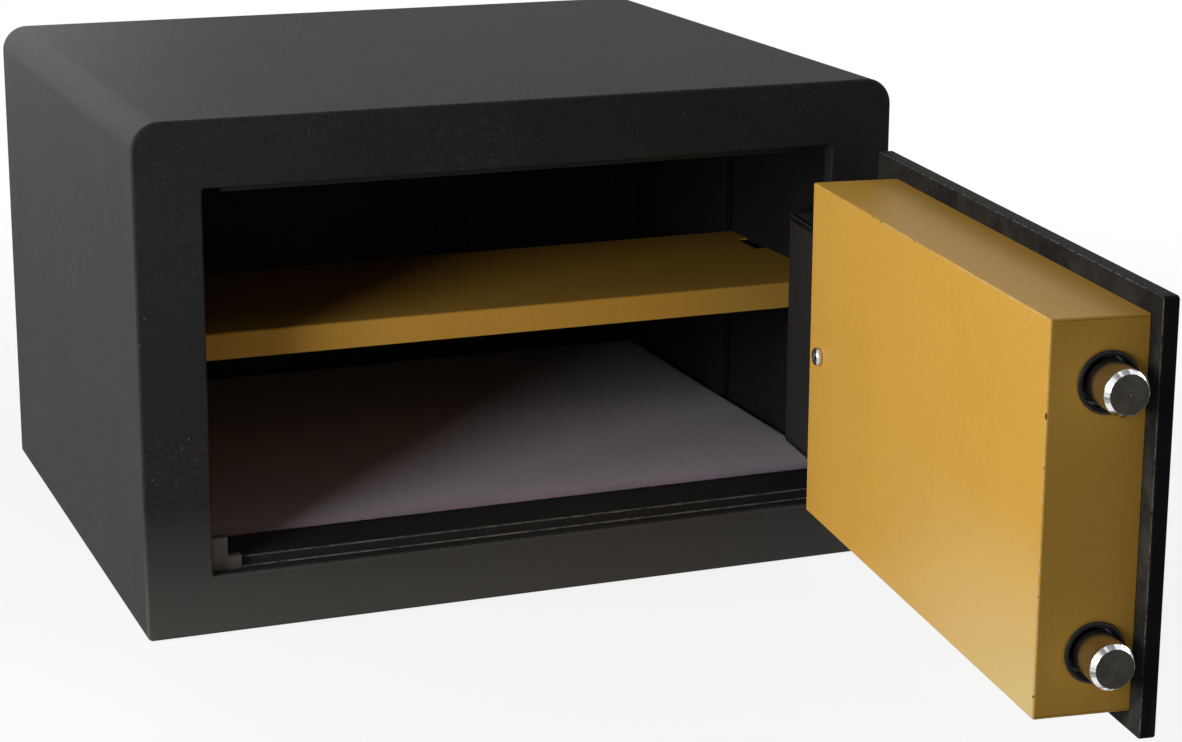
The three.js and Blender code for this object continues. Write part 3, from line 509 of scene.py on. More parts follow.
def turned_steel(name, colour, dark, low, high, anisotropic, reflection_tone=None):
    """Steel with fine lathe rings round its own Z axis, and, where a tone is given, darker sectors round it
    as a painted reflection.
    """
    look = Look(name, Metallic=1.0, Anisotropic=anisotropic)
    x, y, z = look.axes()
    radius = look.math("SQRT", look.math("ADD", look.math("MULTIPLY", x, x), look.math("MULTIPLY", y, y)), 0)
    rings = look.line_noise(look.math("ADD", radius, look.math("MULTIPLY", z, 0.7)), 5200.0, 2.0)
    waves = look.math("SINE", look.math("MULTIPLY", radius, 9500), 0)
    blotch = look.noise(140, 3, 0.6)
    base = look.mix(look.band(blotch, 0.35, 0.75), colour, dark)
    if reflection_tone:
        # Painted reflection: darker sectors round the axis
        reflection_sectors = look.line_noise(look.math("ARCTAN2", y, x), 2.6, 1.5)
        base = look.mix(look.band(reflection_sectors, 0.47, 0.6), base, reflection_tone)
    look.set("Base Color", base)
    look.set("Roughness", look.band(rings, 0.3, 0.7, low, high))
    look.set("Normal", look.bump(rings, 0.25, 0.02, look.bump(waves, 0.05, 0.02)))
    look.set("Tangent", look.node("ShaderNodeTangent", direction_type="RADIAL", axis="Z").outputs[0])
    return look


def felt_look():
    look = Look("felt", Roughness=0.95, Sheen_Weight=0.35, Sheen_Roughness=0.5)
    fibres = look.noise(900, 4, 0.7, look.stretched(1, 0.35, 1), 1.4)
    tufts = look.noise(240, 3, 0.6, None, 0.8)
    broad = look.noise(22, 2)
    base = look.mix(look.band(broad, 0.3, 0.7), (0.17, 0.13, 0.182), (0.228, 0.178, 0.242))
    look.set("Base Color", look.mix(look.band(fibres, 0.35, 0.7), base, (0.311, 0.25, 0.334)))
    look.set("Normal", look.bump(fibres, 0.6, 0.25, look.bump(tufts, 0.5, 0.6)))
    return look


def plastic(name, dark, light, rough, grain=1500, depth=0.03, strength=0.25, gloss=0.5):
    look = Look(name, Roughness=rough, Specular_IOR_Level=gloss)
    fine = look.noise(grain, 2, 0.5)
    broad = look.noise(30, 2)
    base = look.mix(look.band(broad, 0.3, 0.7), dark, light)
    scuffed = tuple(min(1.0, v * 1.9 + 0.01) for v in light)
    look.set("Base Color", look.worn_and_highlit(base, scuffed, 200, 0.5, 0.75, 0.5))
    look.set("Roughness", look.band(fine, 0.3, 0.7, rough - 0.06, rough + 0.06))
    look.set("Normal", look.bump(fine, strength, depth))
    return look


def board_look():
    look = Look("board", Roughness=0.4)
    tracks = look.cells(260, look.stretched(1, 1, 1.6), "DISTANCE_TO_EDGE")
    lines = look.band(tracks, 0.05, 0.09)
    look.set("Base Color", look.mix(lines, (0.03, 0.2, 0.07), (0.012, 0.09, 0.035)))
    look.set("Normal", look.bump(lines, 0.3, 0.04))
    return look


def battery_look():
    look = Look("battery", Metallic=0.3, Roughness=0.35)
    band = look.band(look.axes()["Z"], 0.0368, 0.0372)
    scuffs = look.band(look.noise(300, 4, 0.6), 0.3, 0.75)
    dark = look.mix(scuffs, (0.03, 0.034, 0.04), (0.055, 0.06, 0.066))
    look.set("Base Color", look.mix(band, dark, (0.5, 0.29, 0.08)))
    look.set("Roughness", look.band(look.noise(500, 2), 0.3, 0.7, 0.28, 0.42))
    return look


BLACK = black_coat("black_coat", 1)
# The door's coat is the body's coat darkened to half as painted shade; its lighter edges are rubbed paint
# and a painted highlight
DOOR_BLACK_SHADED = black_coat("door_coat_painted_shade_and_light", 0.5, 0.24, (0.42, 0.6, 0.9), 0.4, True)
# The sill's coat: its beads' crests are lighter, partly rubbed paint and partly a painted highlight
SILL_HIGHLIT = black_coat("sill_coat_painted_highlight", 1, 0.18, (0.3, 0.6, 0.9), 0.46)
GOLD = gold_paint()
STEEL = metal("steel", (0.66, 0.66, 0.66), (0.52, 0.52, 0.52), 0.2, 0.32, (1, 1, 0.2))
# The bolts' end faces: the same steel coloured near black as a painted reflection of dark surroundings
END_STEEL_PAINTED_DARK = turned_steel("turned_steel", (0.047, 0.043, 0.037), (0.026, 0.024, 0.02), 0.28, 0.42, 0.85)
# The bolts' chamfers, with darker sectors round them as a painted reflection
POLISHED = turned_steel(
    "polished_steel", (0.86, 0.87, 0.88), (0.78, 0.78, 0.78), 0.06, 0.14, 0.0, (0.24, 0.25, 0.27))
BAR = turned_steel("bar_steel", (0.62, 0.58, 0.53), (0.36, 0.33, 0.29), 0.18, 0.3, 0.4)
ZINC = metal("zinc", (0.5, 0.51, 0.52), (0.38, 0.39, 0.4), 0.34, 0.5, (0.3, 1, 1))
FELT = felt_look()
PLASTIC = plastic("black_plastic", (0.014, 0.014, 0.015), (0.02, 0.02, 0.021), 0.5)
BUSH = plastic("bush_plastic", (0.003, 0.003, 0.003), (0.005, 0.005, 0.005), 0.4, 700, 0.05, 0.4, 0.25)
RUBBER = plastic("grey_rubber", (0.04, 0.034, 0.029), (0.056, 0.048, 0.042), 0.6, 900, 0.08, 0.4)
KEY = plastic("key_plastic", (0.05, 0.05, 0.052), (0.065, 0.065, 0.067), 0.6)
BOARD = board_look()
BATTERY = battery_look()
PRINT = plastic("print", (0.62, 0.62, 0.6), (0.7, 0.7, 0.68), 0.5)
GREEN_LED = plastic("green_lens", (0.02, 0.22, 0.05), (0.03, 0.3, 0.07), 0.15, 900, 0.005, 0.05)
RED_LED = plastic("red_lens", (0.3, 0.02, 0.015), (0.38, 0.03, 0.02), 0.15, 900, 0.005, 0.05)


# Body: one welded skin of front, top, sides and bottom, rounded at its front and at the opening
def ring(points, y):
    return [(x, y, z) for x, z in points]


def tray(outline, wall, fold, bend, face, inward, rim):
    """An open box: its inner fold, its rim's (inset, y) steps and the rubbed outer bend round its face."""
    inner = [(wall + fold * a, wall + fold * b) for a, b in reversed(quarter(2))]
    rings = [ring(outline(by), face + inward * depth) for by, depth in inner]
    rings += [ring(outline(by), y) for by, y in rim]
    wears = [0] * len(rings) + [0, 0, 1, 1, 0, 0]
    rings += [ring(outline(bend * a), face + inward * bend * b) for a, b in quarter(5)]
    return Shape().loft(rings, wears=wears)


def body_skin():
    front_r, lip_r = 1.6, 1.3

    def outer(by):
        return rounded(-HALF_W + by, HALF_W - by, by, HIGH - by, LOW_R - by, TOP_R - by, 12)

    def opening(grow):
        x, z0, z1 = OPEN_X + grow, OPEN_Z0 - grow, OPEN_Z1 + grow
        return rounded(-x, x, z0, z1, OPEN_R + grow, steps=12)

    folded = ((0, RETURN_Y - 0.3), (0.3, RETURN_Y), (SHEET - 0.2, RETURN_Y), (SHEET, RETURN_Y - 0.2),
              (SHEET, FRONT + SHEET))
    rings = [ring(outer(0), REAR)]
    rings += [ring(outer(front_r * a), FRONT + front_r * b) for a, b in quarter(4)]
    rings += [ring(opening(lip_r * b), FRONT + lip_r * a) for a, b in quarter(4)]
    rings += [ring(opening(grow), y) for grow, y in folded]
    rings += [ring(outer(SHEET), FRONT + SHEET), ring(outer(SHEET), REAR)]
    wears = [0] + 2 * [0, 0, 1, 0, 0] + 7 * [0]
    shape = Shape().loft(rings, closed=True, wears=wears)
    shape.make("body_skin", BLACK, "body", slot="black_coat", replaces=["front_frame", "body_wrap"])


def back_plate():
    holes = [circle(x, ANCHOR_Z, 5.5, 32) for x in (-ANCHOR_X, ANCHOR_X)]
    shape = Shape().plate(
        rounded(-HALF_W, HALF_W, 0, HIGH, LOW_R, TOP_R, 12), SHEET, moved(0, BACK) @ UPRIGHT, holes, 0.8, 3
    )
    shape.make("back_plate", BLACK, "body", slot="black_coat", replaces=["back_panel"])
    for side, x in (("left", -ANCHOR_X), ("right", ANCHOR_X)):
        place = moved(x, 0, ANCHOR_Z) @ turned(-90, "X")
        plug = Shape().lathe(
            [(0, 180.7), (8.6, 180.7), (9, 181.1), (9, 182.7), (5.2, 182.7), (5.2, 184.4), (4.9, 184.7),
             (2.2, 184.7), (1.9, 184.2), (0, 184.2)], place, 40)
        plug.make(f"plug_{side}", PLASTIC, "body", slot="black_plastic", replaces=[f"anchor_plug_{side}"])


def floor_parts():
    front = RETURN_Y + GAP
    thick, bend, notch, parting = 1.5, 0.9, -OPEN_X + 18.5, 0.04
    base, first, groove, second = 26, 32.8, 32, 36.5
    level = [(front + 8, FLOOR_TOP), (REAR, FLOOR_TOP)]
    line = [(front, base), (front, first), (front + 2, first), (front + 3, groove), (front + 4, groove),
            (front + 5, second), (front + 7, second), *level]
    below = FLOOR_TOP - thick
    under = [(front + thick, base), (front + thick, 30.5), (front + 5.8, 30.5), (front + 7.2, below),
             (REAR, below)]
    shape = Shape().sheet(line, thick, bend, notch, WALL, under=under)
    shape.sheet([(front + 6.6, 36.3), *level], thick, bend, -WALL, notch - parting)
    # The beads' crests take the lighter colour: rubbed paint and a painted highlight
    highlit_ridges = ((front + 1.2, first), (front + 6, second))
    shape.rub_and_highlight(lambda x, y, z: any(abs(y - ry) < 1.3 and z > rz - 0.35 for ry, rz in highlit_ridges))
    shape.make("floor_pan", SILL_HIGHLIT, "body", slot="black_coat", replaces=["floor_panel"])
    arm, foot, span, high, lap = 10.5, 7, 18, 18, 1.7
    x, z = -OPEN_X, OPEN_Z0
    outline = [(x - lap, z - lap), (x + span, z - lap), (x + span, z + foot), (x + arm + 1, z + foot),
               (x + arm, z + foot + 1), (x + arm, z + high), (x - lap, z + high)]
    Shape().plate(outline, 6, moved(0, front + 6) @ UPRIGHT, edge=0.7, steps=3).make(
        "corner_rest", RUBBER, "body", slot="grey_plastic", replaces=["corner_buffer"])


def felt():
    low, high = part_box("floor_mat")
    x0, x1, y0, y1 = low.x / MM, high.x / MM, low.y / MM, high.y / MM
    z0, z1 = low.z / MM + 0.1, high.z / MM - 0.15
    nx, ny, hem = 120, 84, 0.5
    top, bottom = [], []
    for j in range(ny + 1):
        for i in range(nx + 1):
            u, v = i / nx, j / ny
            frayed = noise.noise(Vector((u * 60, v * 60, 3))) * 0.35
            x = x0 + hem + (x1 - x0 - 2 * hem) * u + (frayed if i in (0, nx) else 0)
            y = y0 + hem + (y1 - y0 - 2 * hem) * v + (frayed if j in (0, ny) else 0)
            rim = min(i, nx - i, j, ny - j)
            droop = (1.1, 0.25, 0.05)[rim] if rim < 3 else 0
            wave = noise.noise(Vector((x / 45, y / 45, 0))) * 0.14 - 0.14
            top.append((x, y, z1 + wave - droop))
            bottom.append((x, y, z0 + max(0.0, 0.2 - 0.1 * rim)))
    n = nx + 1
    count = len(top)
    faces = []
    for j in range(ny):
        for i in range(nx):
            a = j * n + i
            faces.append([a, a + 1, a + n + 1, a + n])
            faces.append([count + a, count + a + n, count + a + n + 1, count + a + 1])
    rim = list(range(n)) + [j * n + nx for j in range(1, ny + 1)]
    rim += [ny * n + i for i in range(nx - 1, -1, -1)] + [j * n for j in range(ny - 1, 0, -1)]
    for a, b in zip(rim, rim[1:] + rim[:1]):
        faces.append([a, count + a, count + b, b])
    shape = Shape().put(top + bottom, faces)
    obj = shape.make("felt_mat", FELT, "body", smooth=180, slot="felt", replaces=["floor_mat"])


def shelf_parts():
    y0, y1, top, thick = -122, 21, 148, 1.2
    line = [(y0, top - 15), (y0, top), (y1, top), (y1, top - 8)]
    shape = Shape().sheet(line, thick, 1.8, -WALL, WALL, edge=0.3)
    cutters = []
    for side in (-1, 1):
        a, b = sorted((side * (WALL - 8), side * (WALL + 2)))
        cutters.append(Shape().block(a, b, y1 - 54, y1 - 24, top - 4, top + 2, 0.1))
    shape.make("shelf_sheet", GOLD, "body", slot="gold_paint", replaces=["shelf"], carve=cutters)
    high = top - thick - GAP
    for side, sign in (("left", -1), ("right", 1)):
        points = [(sign * WALL, high - 12), (sign * WALL, high), (sign * (WALL - 14), high)]
        soft = soften(points, 1.2)
        outline = soft + offset_line(soft, -1.5 if sign > 0 else 1.5)[::-1]
        if area(outline) < 0:
            outline.reverse()
        Shape().plate(outline, y1 - y0 - 20, moved(0, y1 - 10) @ UPRIGHT, edge=0.3, steps=1).make(
            f"shelf_ledge_{side}", BLACK, "body", slot="black_coat", replaces=[f"shelf_bracket_{side}"])
        a, b = sorted((sign * WALL, sign * (WALL - 6)))
        Shape().block(a, b, y1 + GAP, y1 + 16 + GAP, FLOOR_TOP + 3.6, HIGH - SHEET - 12, 1.0, steps=3).make(
            f"wall_rail_{side}", BLACK, "body", slot="black_coat", replaces=[f"shelf_rail_{side}"])


def stops():
    y = RETURN_Y + GAP
    reach = OPEN_X - 12
    Shape().block(-reach, reach, y, y + 2, OPEN_Z1 - 4, OPEN_Z1 + 2, 0.5).make(
        "stop_strip", BLACK, "body", slot="black_coat", replaces=["top_stop"])
    thick, end = 4, 18
    x0 = -OPEN_X - SHEET - 2 - thick
    y0 = FRONT + SHEET + GAP
    holes = [circle(BOLT_Y, z, 12.3) for z in BOLT_ZS.values()]
    outline = rounded(y0, y0 + 42, BOLT_ZS["lower"] - end, BOLT_ZS["upper"] + end, 2)
    Shape().plate(outline, thick, moved(x0) @ SIDEWAYS, holes, 0.5).make(
        "keeper_plate", BLACK, "body", slot="black_coat", replaces=["bolt_keeper"])


def hinge_on_body():
    y0, thick = FRONT + SHEET + GAP, 4
    profile = [(0, -6), (2.1, -6), (2.5, -5.6), (2.5, 4.8), (4.3, 4.8), (4.5, 5), (4.5, 6.3), (4.0, 6.8),
               (0, 6.8)]
    for side, sign in (("upper", 1), ("lower", -1)):
        face = MID + HINGE + 0.5 if sign > 0 else MID - HINGE - 0.5 - thick
        outline = rounded(WALL - 20, WALL, y0, y0 + 16, 2)
        Shape().plate(outline, thick, moved(0, 0, face), [circle(PIVOT.x, PIVOT.y, 2.8, 32)], 0.4).make(
            f"lug_{side}", BLACK, "body", slot="black_coat", replaces=[f"hinge_lug_{side}"])
        place = moved(PIVOT.x, PIVOT.y, MID + sign * HINGE) @ (Matrix() if sign > 0 else turned(180, "X"))
        Shape().lathe(profile, place, 32).make(
            f"pin_{side}", STEEL, "body", slot="steel", replaces=[f"hinge_pin_{side}"])


# Door: plate, folded cover, bracket, bolts and bushes, in the closed door's place and then turned open
def door_plate():
    holes = [circle(KNOB_X, MID, 4.5), circle(LOCK_X, MID, 9.3)]
    outline = rounded(DOOR_X0, DOOR_X1, DOOR_Z0, DOOR_Z1, 2)
    shape = Shape().plate(outline, 8, moved(0, PLATE_Y) @ UPRIGHT, holes, 0.9, 4)
    # The slab's edges take the lighter colour: rubbed paint and a painted highlight
    shape.rub_and_highlight(lambda x, y, z: 3.6 < abs(y - PLATE_Y + 4) < 3.98)
    shape.make("door_slab", DOOR_BLACK_SHADED, "door", DOOR, slot="black_coat", replaces=["door_plate"])


def door_cover():
    bend, sheet, seam = 1.5, 1.2, 0.12
    start = PLATE_Y + GAP

    def outline(by):
        x0, x1, z0, z1 = COVER_X0 + by, COVER_X1 - by, COVER_Z0 + by, COVER_Z1 - by
        return rounded(x0, x1, z0, z1, max(0.7 - by, 0.15), steps=4)

    shape = tray(outline, sheet, 0.5, bend, COVER_Y, -1, ((sheet, start), (0, start)))
    cutters = []
    for z in BOLT_ZS.values():
        cutters.append(Shape().lathe([(0, -5), (13.7, -5), (13.7, 5), (0, 5)],
                                     moved(COVER_X0, BOLT_Y, z) @ turned(90, "Y")))
    screw = moved(SCREW_X, COVER_Y, MID) @ turned(90, "X")
    cutters.append(Shape().lathe([(0, -5), (2.8, -5), (2.8, 5), (0, 5)], screw, 32))
    for x0, x1 in ((COVER_X0 - 1, COVER_X0 + 0.45), (COVER_X1 - 0.45, COVER_X1 + 1)):
        for z in (COVER_Z0 + sheet, COVER_Z1 - sheet):
            end = COVER_Y - bend * 0.9
            cutters.append(Shape().block(x0, x1, start - 2, end, z - seam, z + seam, 0.02, steps=1))
    shape.make("cover_sheet", GOLD, "door", DOOR, slot="gold_paint", replaces=["door_cover"], carve=cutters)


def cover_screw():
    place = moved(SCREW_X, COVER_Y + GAP, MID) @ turned(-90, "X")
    shape = Shape().lathe(
        [(0, -12), (2, -12), (2.5, -11.4), (2.5, 0), (4.8, 0), (5, 0.25), (5, 1.5), (4.75, 2.3), (4.1, 2.95),
         (2.9, 3.35), (0, 3.5)], place, 48)
    cutters = []
    for half, wide in ((3.0, 0.75), (0.75, 3.0)):
        cutters.append(Shape().block(-half, half, -wide, wide, 1.3, 5, 0.1, place @ turned(38, "Z"), 1))
    shape.make("pan_screw", STEEL, "door", DOOR, slot="steel", replaces=["cover_screw"], carve=cutters)


def bracket():
    x0, z0, z1 = COVER_X1 + 0.5, MID - HINGE, MID + HINGE
    flange, web, reach = 4, 3, 45
    boss, throat, mouth, foot = 5.5, 26, 2, -27
    foot_far = x0 - PIVOT.x
    foot_y, web_y = PLATE_Y + GAP - PIVOT.y, PLATE_Y + reach - PIVOT.y
    outline = arc(0, 0, boss, math.degrees(math.acos(mouth / boss)), 360, 24)
    outline += [(8, boss), (8, 28), (6.8, 31.2), (-6.2, 43.2), (-9, web_y)]
    outline += [(foot_far, web_y), (foot_far, foot_y), (foot, foot_y)]
    outline += arc(0, 0, throat, 180, math.degrees(math.acos(mouth / throat)), 20)
    eye = circle(0, 0, 3, 32)
    shape = Shape()
    for z in (z0, z1 - flange):
        shape.plate(outline, flange, moved(PIVOT.x, PIVOT.y, z), [eye], 0.5)
    shape.block(x0, PIVOT.x - 8, PLATE_Y + reach - web, PLATE_Y + reach, z0, z1, 0.8, steps=3)
    shape.block(x0, PIVOT.x + foot, PLATE_Y + GAP, PLATE_Y + web + GAP, z0, z1, 0.8, steps=3)
    shape.make("hinge_hook", BLACK, "door", DOOR, slot="black_coat", replaces=["hinge_bracket"])


def bolts():
    for side, z in BOLT_ZS.items():
        place = DOOR @ moved(BOLT_ROOT, BOLT_Y, z) @ turned(-90, "Y")
        shoulder, tip = (10.93, 53.4), (9.3, 55.78)
        bar = Shape().lathe([(0, 0), (10.4, 0), (11, 0.6), (11, 53.15), shoulder], steps=96)
        bar.lathe([shoulder, (9.42, 55.7), tip], steps=96, mat=1)
        bar.lathe([tip, (9.2, 55.7), (1.0, 55.6), (0.8, 55.35), (0, 55.25)], steps=96, mat=2)
        looks = [BAR, POLISHED, END_STEEL_PAINTED_DARK]
        bar.make(f"bar_{side}", looks, "bolts", place, slot="steel", replaces=[f"bolt_{side}"])
        place = DOOR @ moved(COVER_X0, BOLT_Y, z) @ turned(-90, "Y")
        Shape().lathe(
            [(12.2, -6.2), (13.4, -6.2), (13.4, 0.3), (14.6, 0.3), (14.7, 0.45), (14.65, 0.9), (14.4, 1.15),
             (13.5, 1.25), (13.3, 1.1), (13.25, 0.4), (13.1, 0.2), (12.95, 0.25), (12.8, 0.6), (12.6, 0.65),
             (12.4, 0.5), (12.25, 0.1), (12.2, -0.6), (12.2, -6.2)], steps=96).make(
            f"bush_{side}", BUSH, "door", place, slot="black_plastic", replaces=[f"bolt_bush_{side}"])


# Outside of the door: knob, key lock, keypad, batteries and lid
def knob():
    place = DOOR @ moved(KNOB_X, FACE, MID) @ UPRIGHT
    bore, ribs = 4.3, 28
    profile = [(bore, 0), (18.6, 0), (19, 0.4), (19, 2.6), (18.2, 3.6), (16.4, 4.4), (13, 4.9), (bore, 5.1),
               (bore, 0)]
    shape = Shape().lathe(profile, steps=96)
    grip = [(3.2, 7.4, 17.6), (10, 6.6, 17.2), (13, 5.7, 16.9), (17, 5.3, 16.6), (18.8, 5.0, 16.4),
            (19.7, 4.5, 15.9), (19.98, 3.8, 15.2)]
    shape.loft([[(x, y, h) for x, y in rounded(-a, a, -b, b, a * 0.98, steps=10)] for h, a, b in grip])
    shape.block(-0.7, 0.7, 6, 15.2, 19.7, 20, 0.1, mat=1)
    for i in range(ribs):
        shape.block(18.2, 18.95, -0.8, 0.8, 0.6, 3.0, 0.2, turned(360 * i / ribs, "Z"), 1)
    shape.make("turn_knob", [PLASTIC, PRINT], "knob", place, slot="black_plastic", replaces=["knob"])
    Shape().lathe([(0, -7.7), (3.6, -7.7), (4, -7.3), (4, 4.6), (3.6, 5), (0, 5)], steps=48).make(
        "spindle", STEEL, "knob", place @ moved(0, 0, -GAP), slot="steel", replaces=["knob_spindle"])


def key_lock():
    place = DOOR @ moved(LOCK_X, FACE, MID) @ UPRIGHT
    inner = -(PLATE_Y + 18 - FACE)
    bore, rise, ear, rim, cap_r = 5.8, 18, 6, 12.5, 15
    profile = [(bore, inner), (9, inner), (9, 0), (13, 0), (13, 1.6), (12.6, 2), (bore, 2), (bore, inner)]
    tube = Shape().lathe(profile, steps=80)
    edge = math.degrees(math.asin(ear / rim))
    outline = arc(0, rise, ear, 0, 180, 20) + arc(0, 0, rim, 90 - edge, 90 + edge, 6)[::-1]
    tube.plate(outline, 2, edge=0.3)
    tube.lathe([(0, 1), (2, 1), (2, 5.5), (1.7, 5.8), (0, 5.8)], moved(0, rise), 24)
    tube.make("lock_barrel", STEEL, "door", place, slot="steel", replaces=["lock_cylinder"])
    rotor = Shape().lathe([(0, inner), (5.5, inner), (5.5, 2.1), (5.2, 2.4), (0, 2.4)], steps=64)
    slot = Shape().block(-0.8, 0.8, -3.5, 3.5, -1.6, 4, 0.15, steps=1)
    mouth = Shape().block(-2.1, 2.1, -1.1, 1.1, 2.0, 3.5, 0.15, steps=1)
    rotor.make("key_core", STEEL, "key_rotor", place, slot="steel", replaces=["lock_rotor"],
               carve=[slot, mouth])
    neck = math.degrees(math.asin(ear / cap_r))
    outline = arc(0, 0, cap_r, 90 + neck, 450 - neck, 56) + arc(0, rise, ear, 0, 180, 20)
    cap = Shape().plate(outline, 3, moved(0, 0, 2.8), [circle(0, rise, 2.3, 24)], 0.7, 4)
    dish = Shape().lathe([(0, 5.1), (8.5, 5.1), (10.5, 6.4), (0, 6.4)], steps=64)
    cap.make("key_flap", PLASTIC, "key_cover", place, slot="black_plastic", replaces=["key_cover"],
             carve=[dish])


def pad_housing():
    wall, half, field, lamp_x, lamp_z = 2, 45, 33, 7, PAD_Z0 + 137

    def outline(by):
        return rounded(PAD_X - half + by, PAD_X + half - by, PAD_Z0 + by, PAD_Z1 - by, 6 - by, steps=8)

    def cut(cutter, hole, thick=6, depth=3):
        """Adds a straight cutter from depth behind the pad's face outwards."""
        return cutter.plate(hole, thick, moved(0, PAD_Y + depth) @ UPRIGHT, edge=0.05, steps=1)

    shape = tray(outline, wall, 1.5, 2.4, PAD_Y, 1, ((wall, FACE), (0.4, FACE), (0, FACE - 0.4)))
    keyholes, lamps = Shape(), Shape()
    for _, x, z in keys():
        cut(keyholes, rounded(x - 8, x + 8, z - 6.5, z + 6.5, 1.4))
    lid = cut(Shape(), rounded(PAD_X - field, PAD_X + field, PAD_Z0 + 8, PAD_Z0 + 52, 2))
    panel = cut(Shape(), rounded(PAD_X - field, PAD_X + field, PAD_Z0 + 58.2, PAD_Z0 + 132.6, 3), 3, 0.5)
    for x in (-lamp_x, lamp_x):
        cut(lamps, circle(PAD_X + x, lamp_z, 1.75, 24))
    shape.make("pad_case", PLASTIC, "door", DOOR, slot="black_plastic", replaces=["keypad_housing"],
               carve=[panel, keyholes, lid, lamps])
    for name, x, look in (("green", -lamp_x, GREEN_LED), ("red", lamp_x, RED_LED)):
        place = DOOR @ moved(PAD_X + x, PAD_Y + 2.6, lamp_z) @ UPRIGHT
        Shape().lathe([(0, 0), (1.6, 0), (1.6, 2.2), (1.35, 2.5), (0, 2.6)], steps=28).make(
            f"lamp_{name}", look, "door", place)


def keys():
    """Each button's name and its middle on the pad."""
    names = ["1", "2", "3", "4", "5", "6", "7", "8", "9", "clear", "0", "enter"]
    across, down, first = 22, 19, PAD_Z1 - 18
    return [(n, PAD_X + (i % 3 - 1) * across, first - i // 3 * down) for i, n in enumerate(names)]


def digit(shape, text, place):
    """Adds a number as a thin raised print, centred on place."""
    size, thick = 7.5, 0.12
    curve = bpy.data.curves.new("digit", "FONT")
    curve.body, curve.size, curve.extrude = text, size, thick / 2
    curve.align_x, curve.align_y = "CENTER", "CENTER"
    obj = bpy.data.objects.new("digit", curve)
    bpy.context.scene.collection.objects.link(obj)
    bpy.context.view_layer.update()
    mesh = bpy.data.meshes.new_from_object(obj.evaluated_get(bpy.context.evaluated_depsgraph_get()))
    shape.put([v.co for v in mesh.vertices], [list(p.vertices) for p in mesh.polygons], place, mat=1)
    bpy.data.objects.remove(obj)
    bpy.data.meshes.remove(mesh)


def stroke(shape, x0, x1, place, mat):
    """Adds one raised stroke of a button's sign."""
    shape.block(x0, x1, -0.4, 0.4, 2.1, 2.36, 0.03, place, 1, mat=mat)


def buttons():
    levels = [(-3.3, 8.7, 7.2, 0.8), (-2.3, 8.7, 7.2, 0.8), (-2.3, 7.5, 6, 1.2), (1.5, 7.5, 6, 1.2),
              (2.1, 7.3, 5.8, 1.3), (2.42, 6.9, 5.4, 1.4), (2.5, 6.2, 4.7, 1.4), (2.28, 4.2, 3.1, 1.5),
              (2.22, 2.2, 1.6, 0.8)]
    rings = [[(x, y, h) for x, y in rounded(-a, a, -b, b, r, steps=5)] for h, a, b, r in levels]
    for name, x, z in keys():
        place = DOOR @ moved(x, PAD_Y, z) @ UPRIGHT
        shape = Shape().loft(rings, wears=[0, 0, 0, 0, 0, 1, 0, 0, 0])
        if name.isdigit():
            digit(shape, name, moved(0, 0, 2.26))
        elif name == "clear":
            for turn in (45, -45):
                stroke(shape, -2.7, 2.7, turned(turn, "Z"), 2)
        else:
            stroke(shape, -1.3, 0.5, moved(-1.1, -0.5) @ turned(-45, "Z"), 3)
            stroke(shape, -0.4, 4.0, moved(-0.6, -1.3) @ turned(48, "Z"), 3)
        looks = [KEY, PRINT, RED_LED, GREEN_LED]
        shape.make(f"key_{name}", looks, f"button_{name}", place, slot="grey_plastic",
                   replaces=[f"button_{name}"])


def batteries_and_lid():
    radius, long, steps = 7.2, 50, 40
    profile = [(0, 0), (4.6, 0), (4.8, 0.4), (6.5, 0.4), (radius, 1.0), (radius, 47.4), (6.7, 48.2),
               (3.1, 48.2)]
    for i in range(4):
        x = PAD_X + (i - 1.5) * 15.5
        end = Matrix() if i % 2 else moved(0, 0, long) @ turned(180, "X")
        place = DOOR @ moved(x, FACE - radius - GAP, PAD_Z0 + 5) @ end
        shape = Shape().lathe(profile, steps=steps)
        shape.faces.append(list(range(len(shape.verts) - steps, len(shape.verts))))
        shape.mats.append(0)
        shape.lathe([(0, 48), (2.8, 48), (2.8, 49.6), (2.4, long), (0, long)], steps=24, mat=1)
        shape.make(f"cell_{i + 1}", [BATTERY, STEEL], "door", place, slot="battery",
                   replaces=[f"battery_{i + 1}"])
    place = DOOR @ moved(PAD_X, PAD_Y - 0.4, PAD_Z0 + 5) @ UPRIGHT
    shape = Shape().plate(rounded(-36, 36, 0, 50, 2.5), 1.15, edge=0.4, steps=3)
    for z in (8, 11.5, 15, 18.5):
        shape.block(-14, 14, z - 0.7, z + 0.7, 0.9, 1.58, 0.25)
    shape.plate([(-4, 30), (0, 25.5), (4, 30)], 0.55, moved(0, 0, 1.0), edge=0.15)
    border, hole = rounded(-34.5, 34.5, 1.5, 48.5, 2), rounded(-33.4, 33.4, 2.6, 47.4, 1.6)
    shape.plate(border, 0.5, moved(0, 0, 0.9), [hole], 0.15)
    shape.make("lid", PLASTIC, "battery_lid", place, slot="black_plastic", replaces=["battery_lid"])


# Hidden pieces keep their CAD shape
def dress(names, look):
    """Gives CAD nodes a look and softened edges."""
    for name in names:
        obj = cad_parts[name]
        obj.data.materials.clear()
        obj.data.materials.append(look.mat)
        weld = obj.modifiers.new("weld", "WELD")
        weld.merge_threshold = 1e-6
        bevel = obj.modifiers.new("bevel", "BEVEL")
        bevel.width, bevel.segments, bevel.limit_method = 0.3 * MM, 2, "ANGLE"
        bevel.angle_limit = math.radians(40)


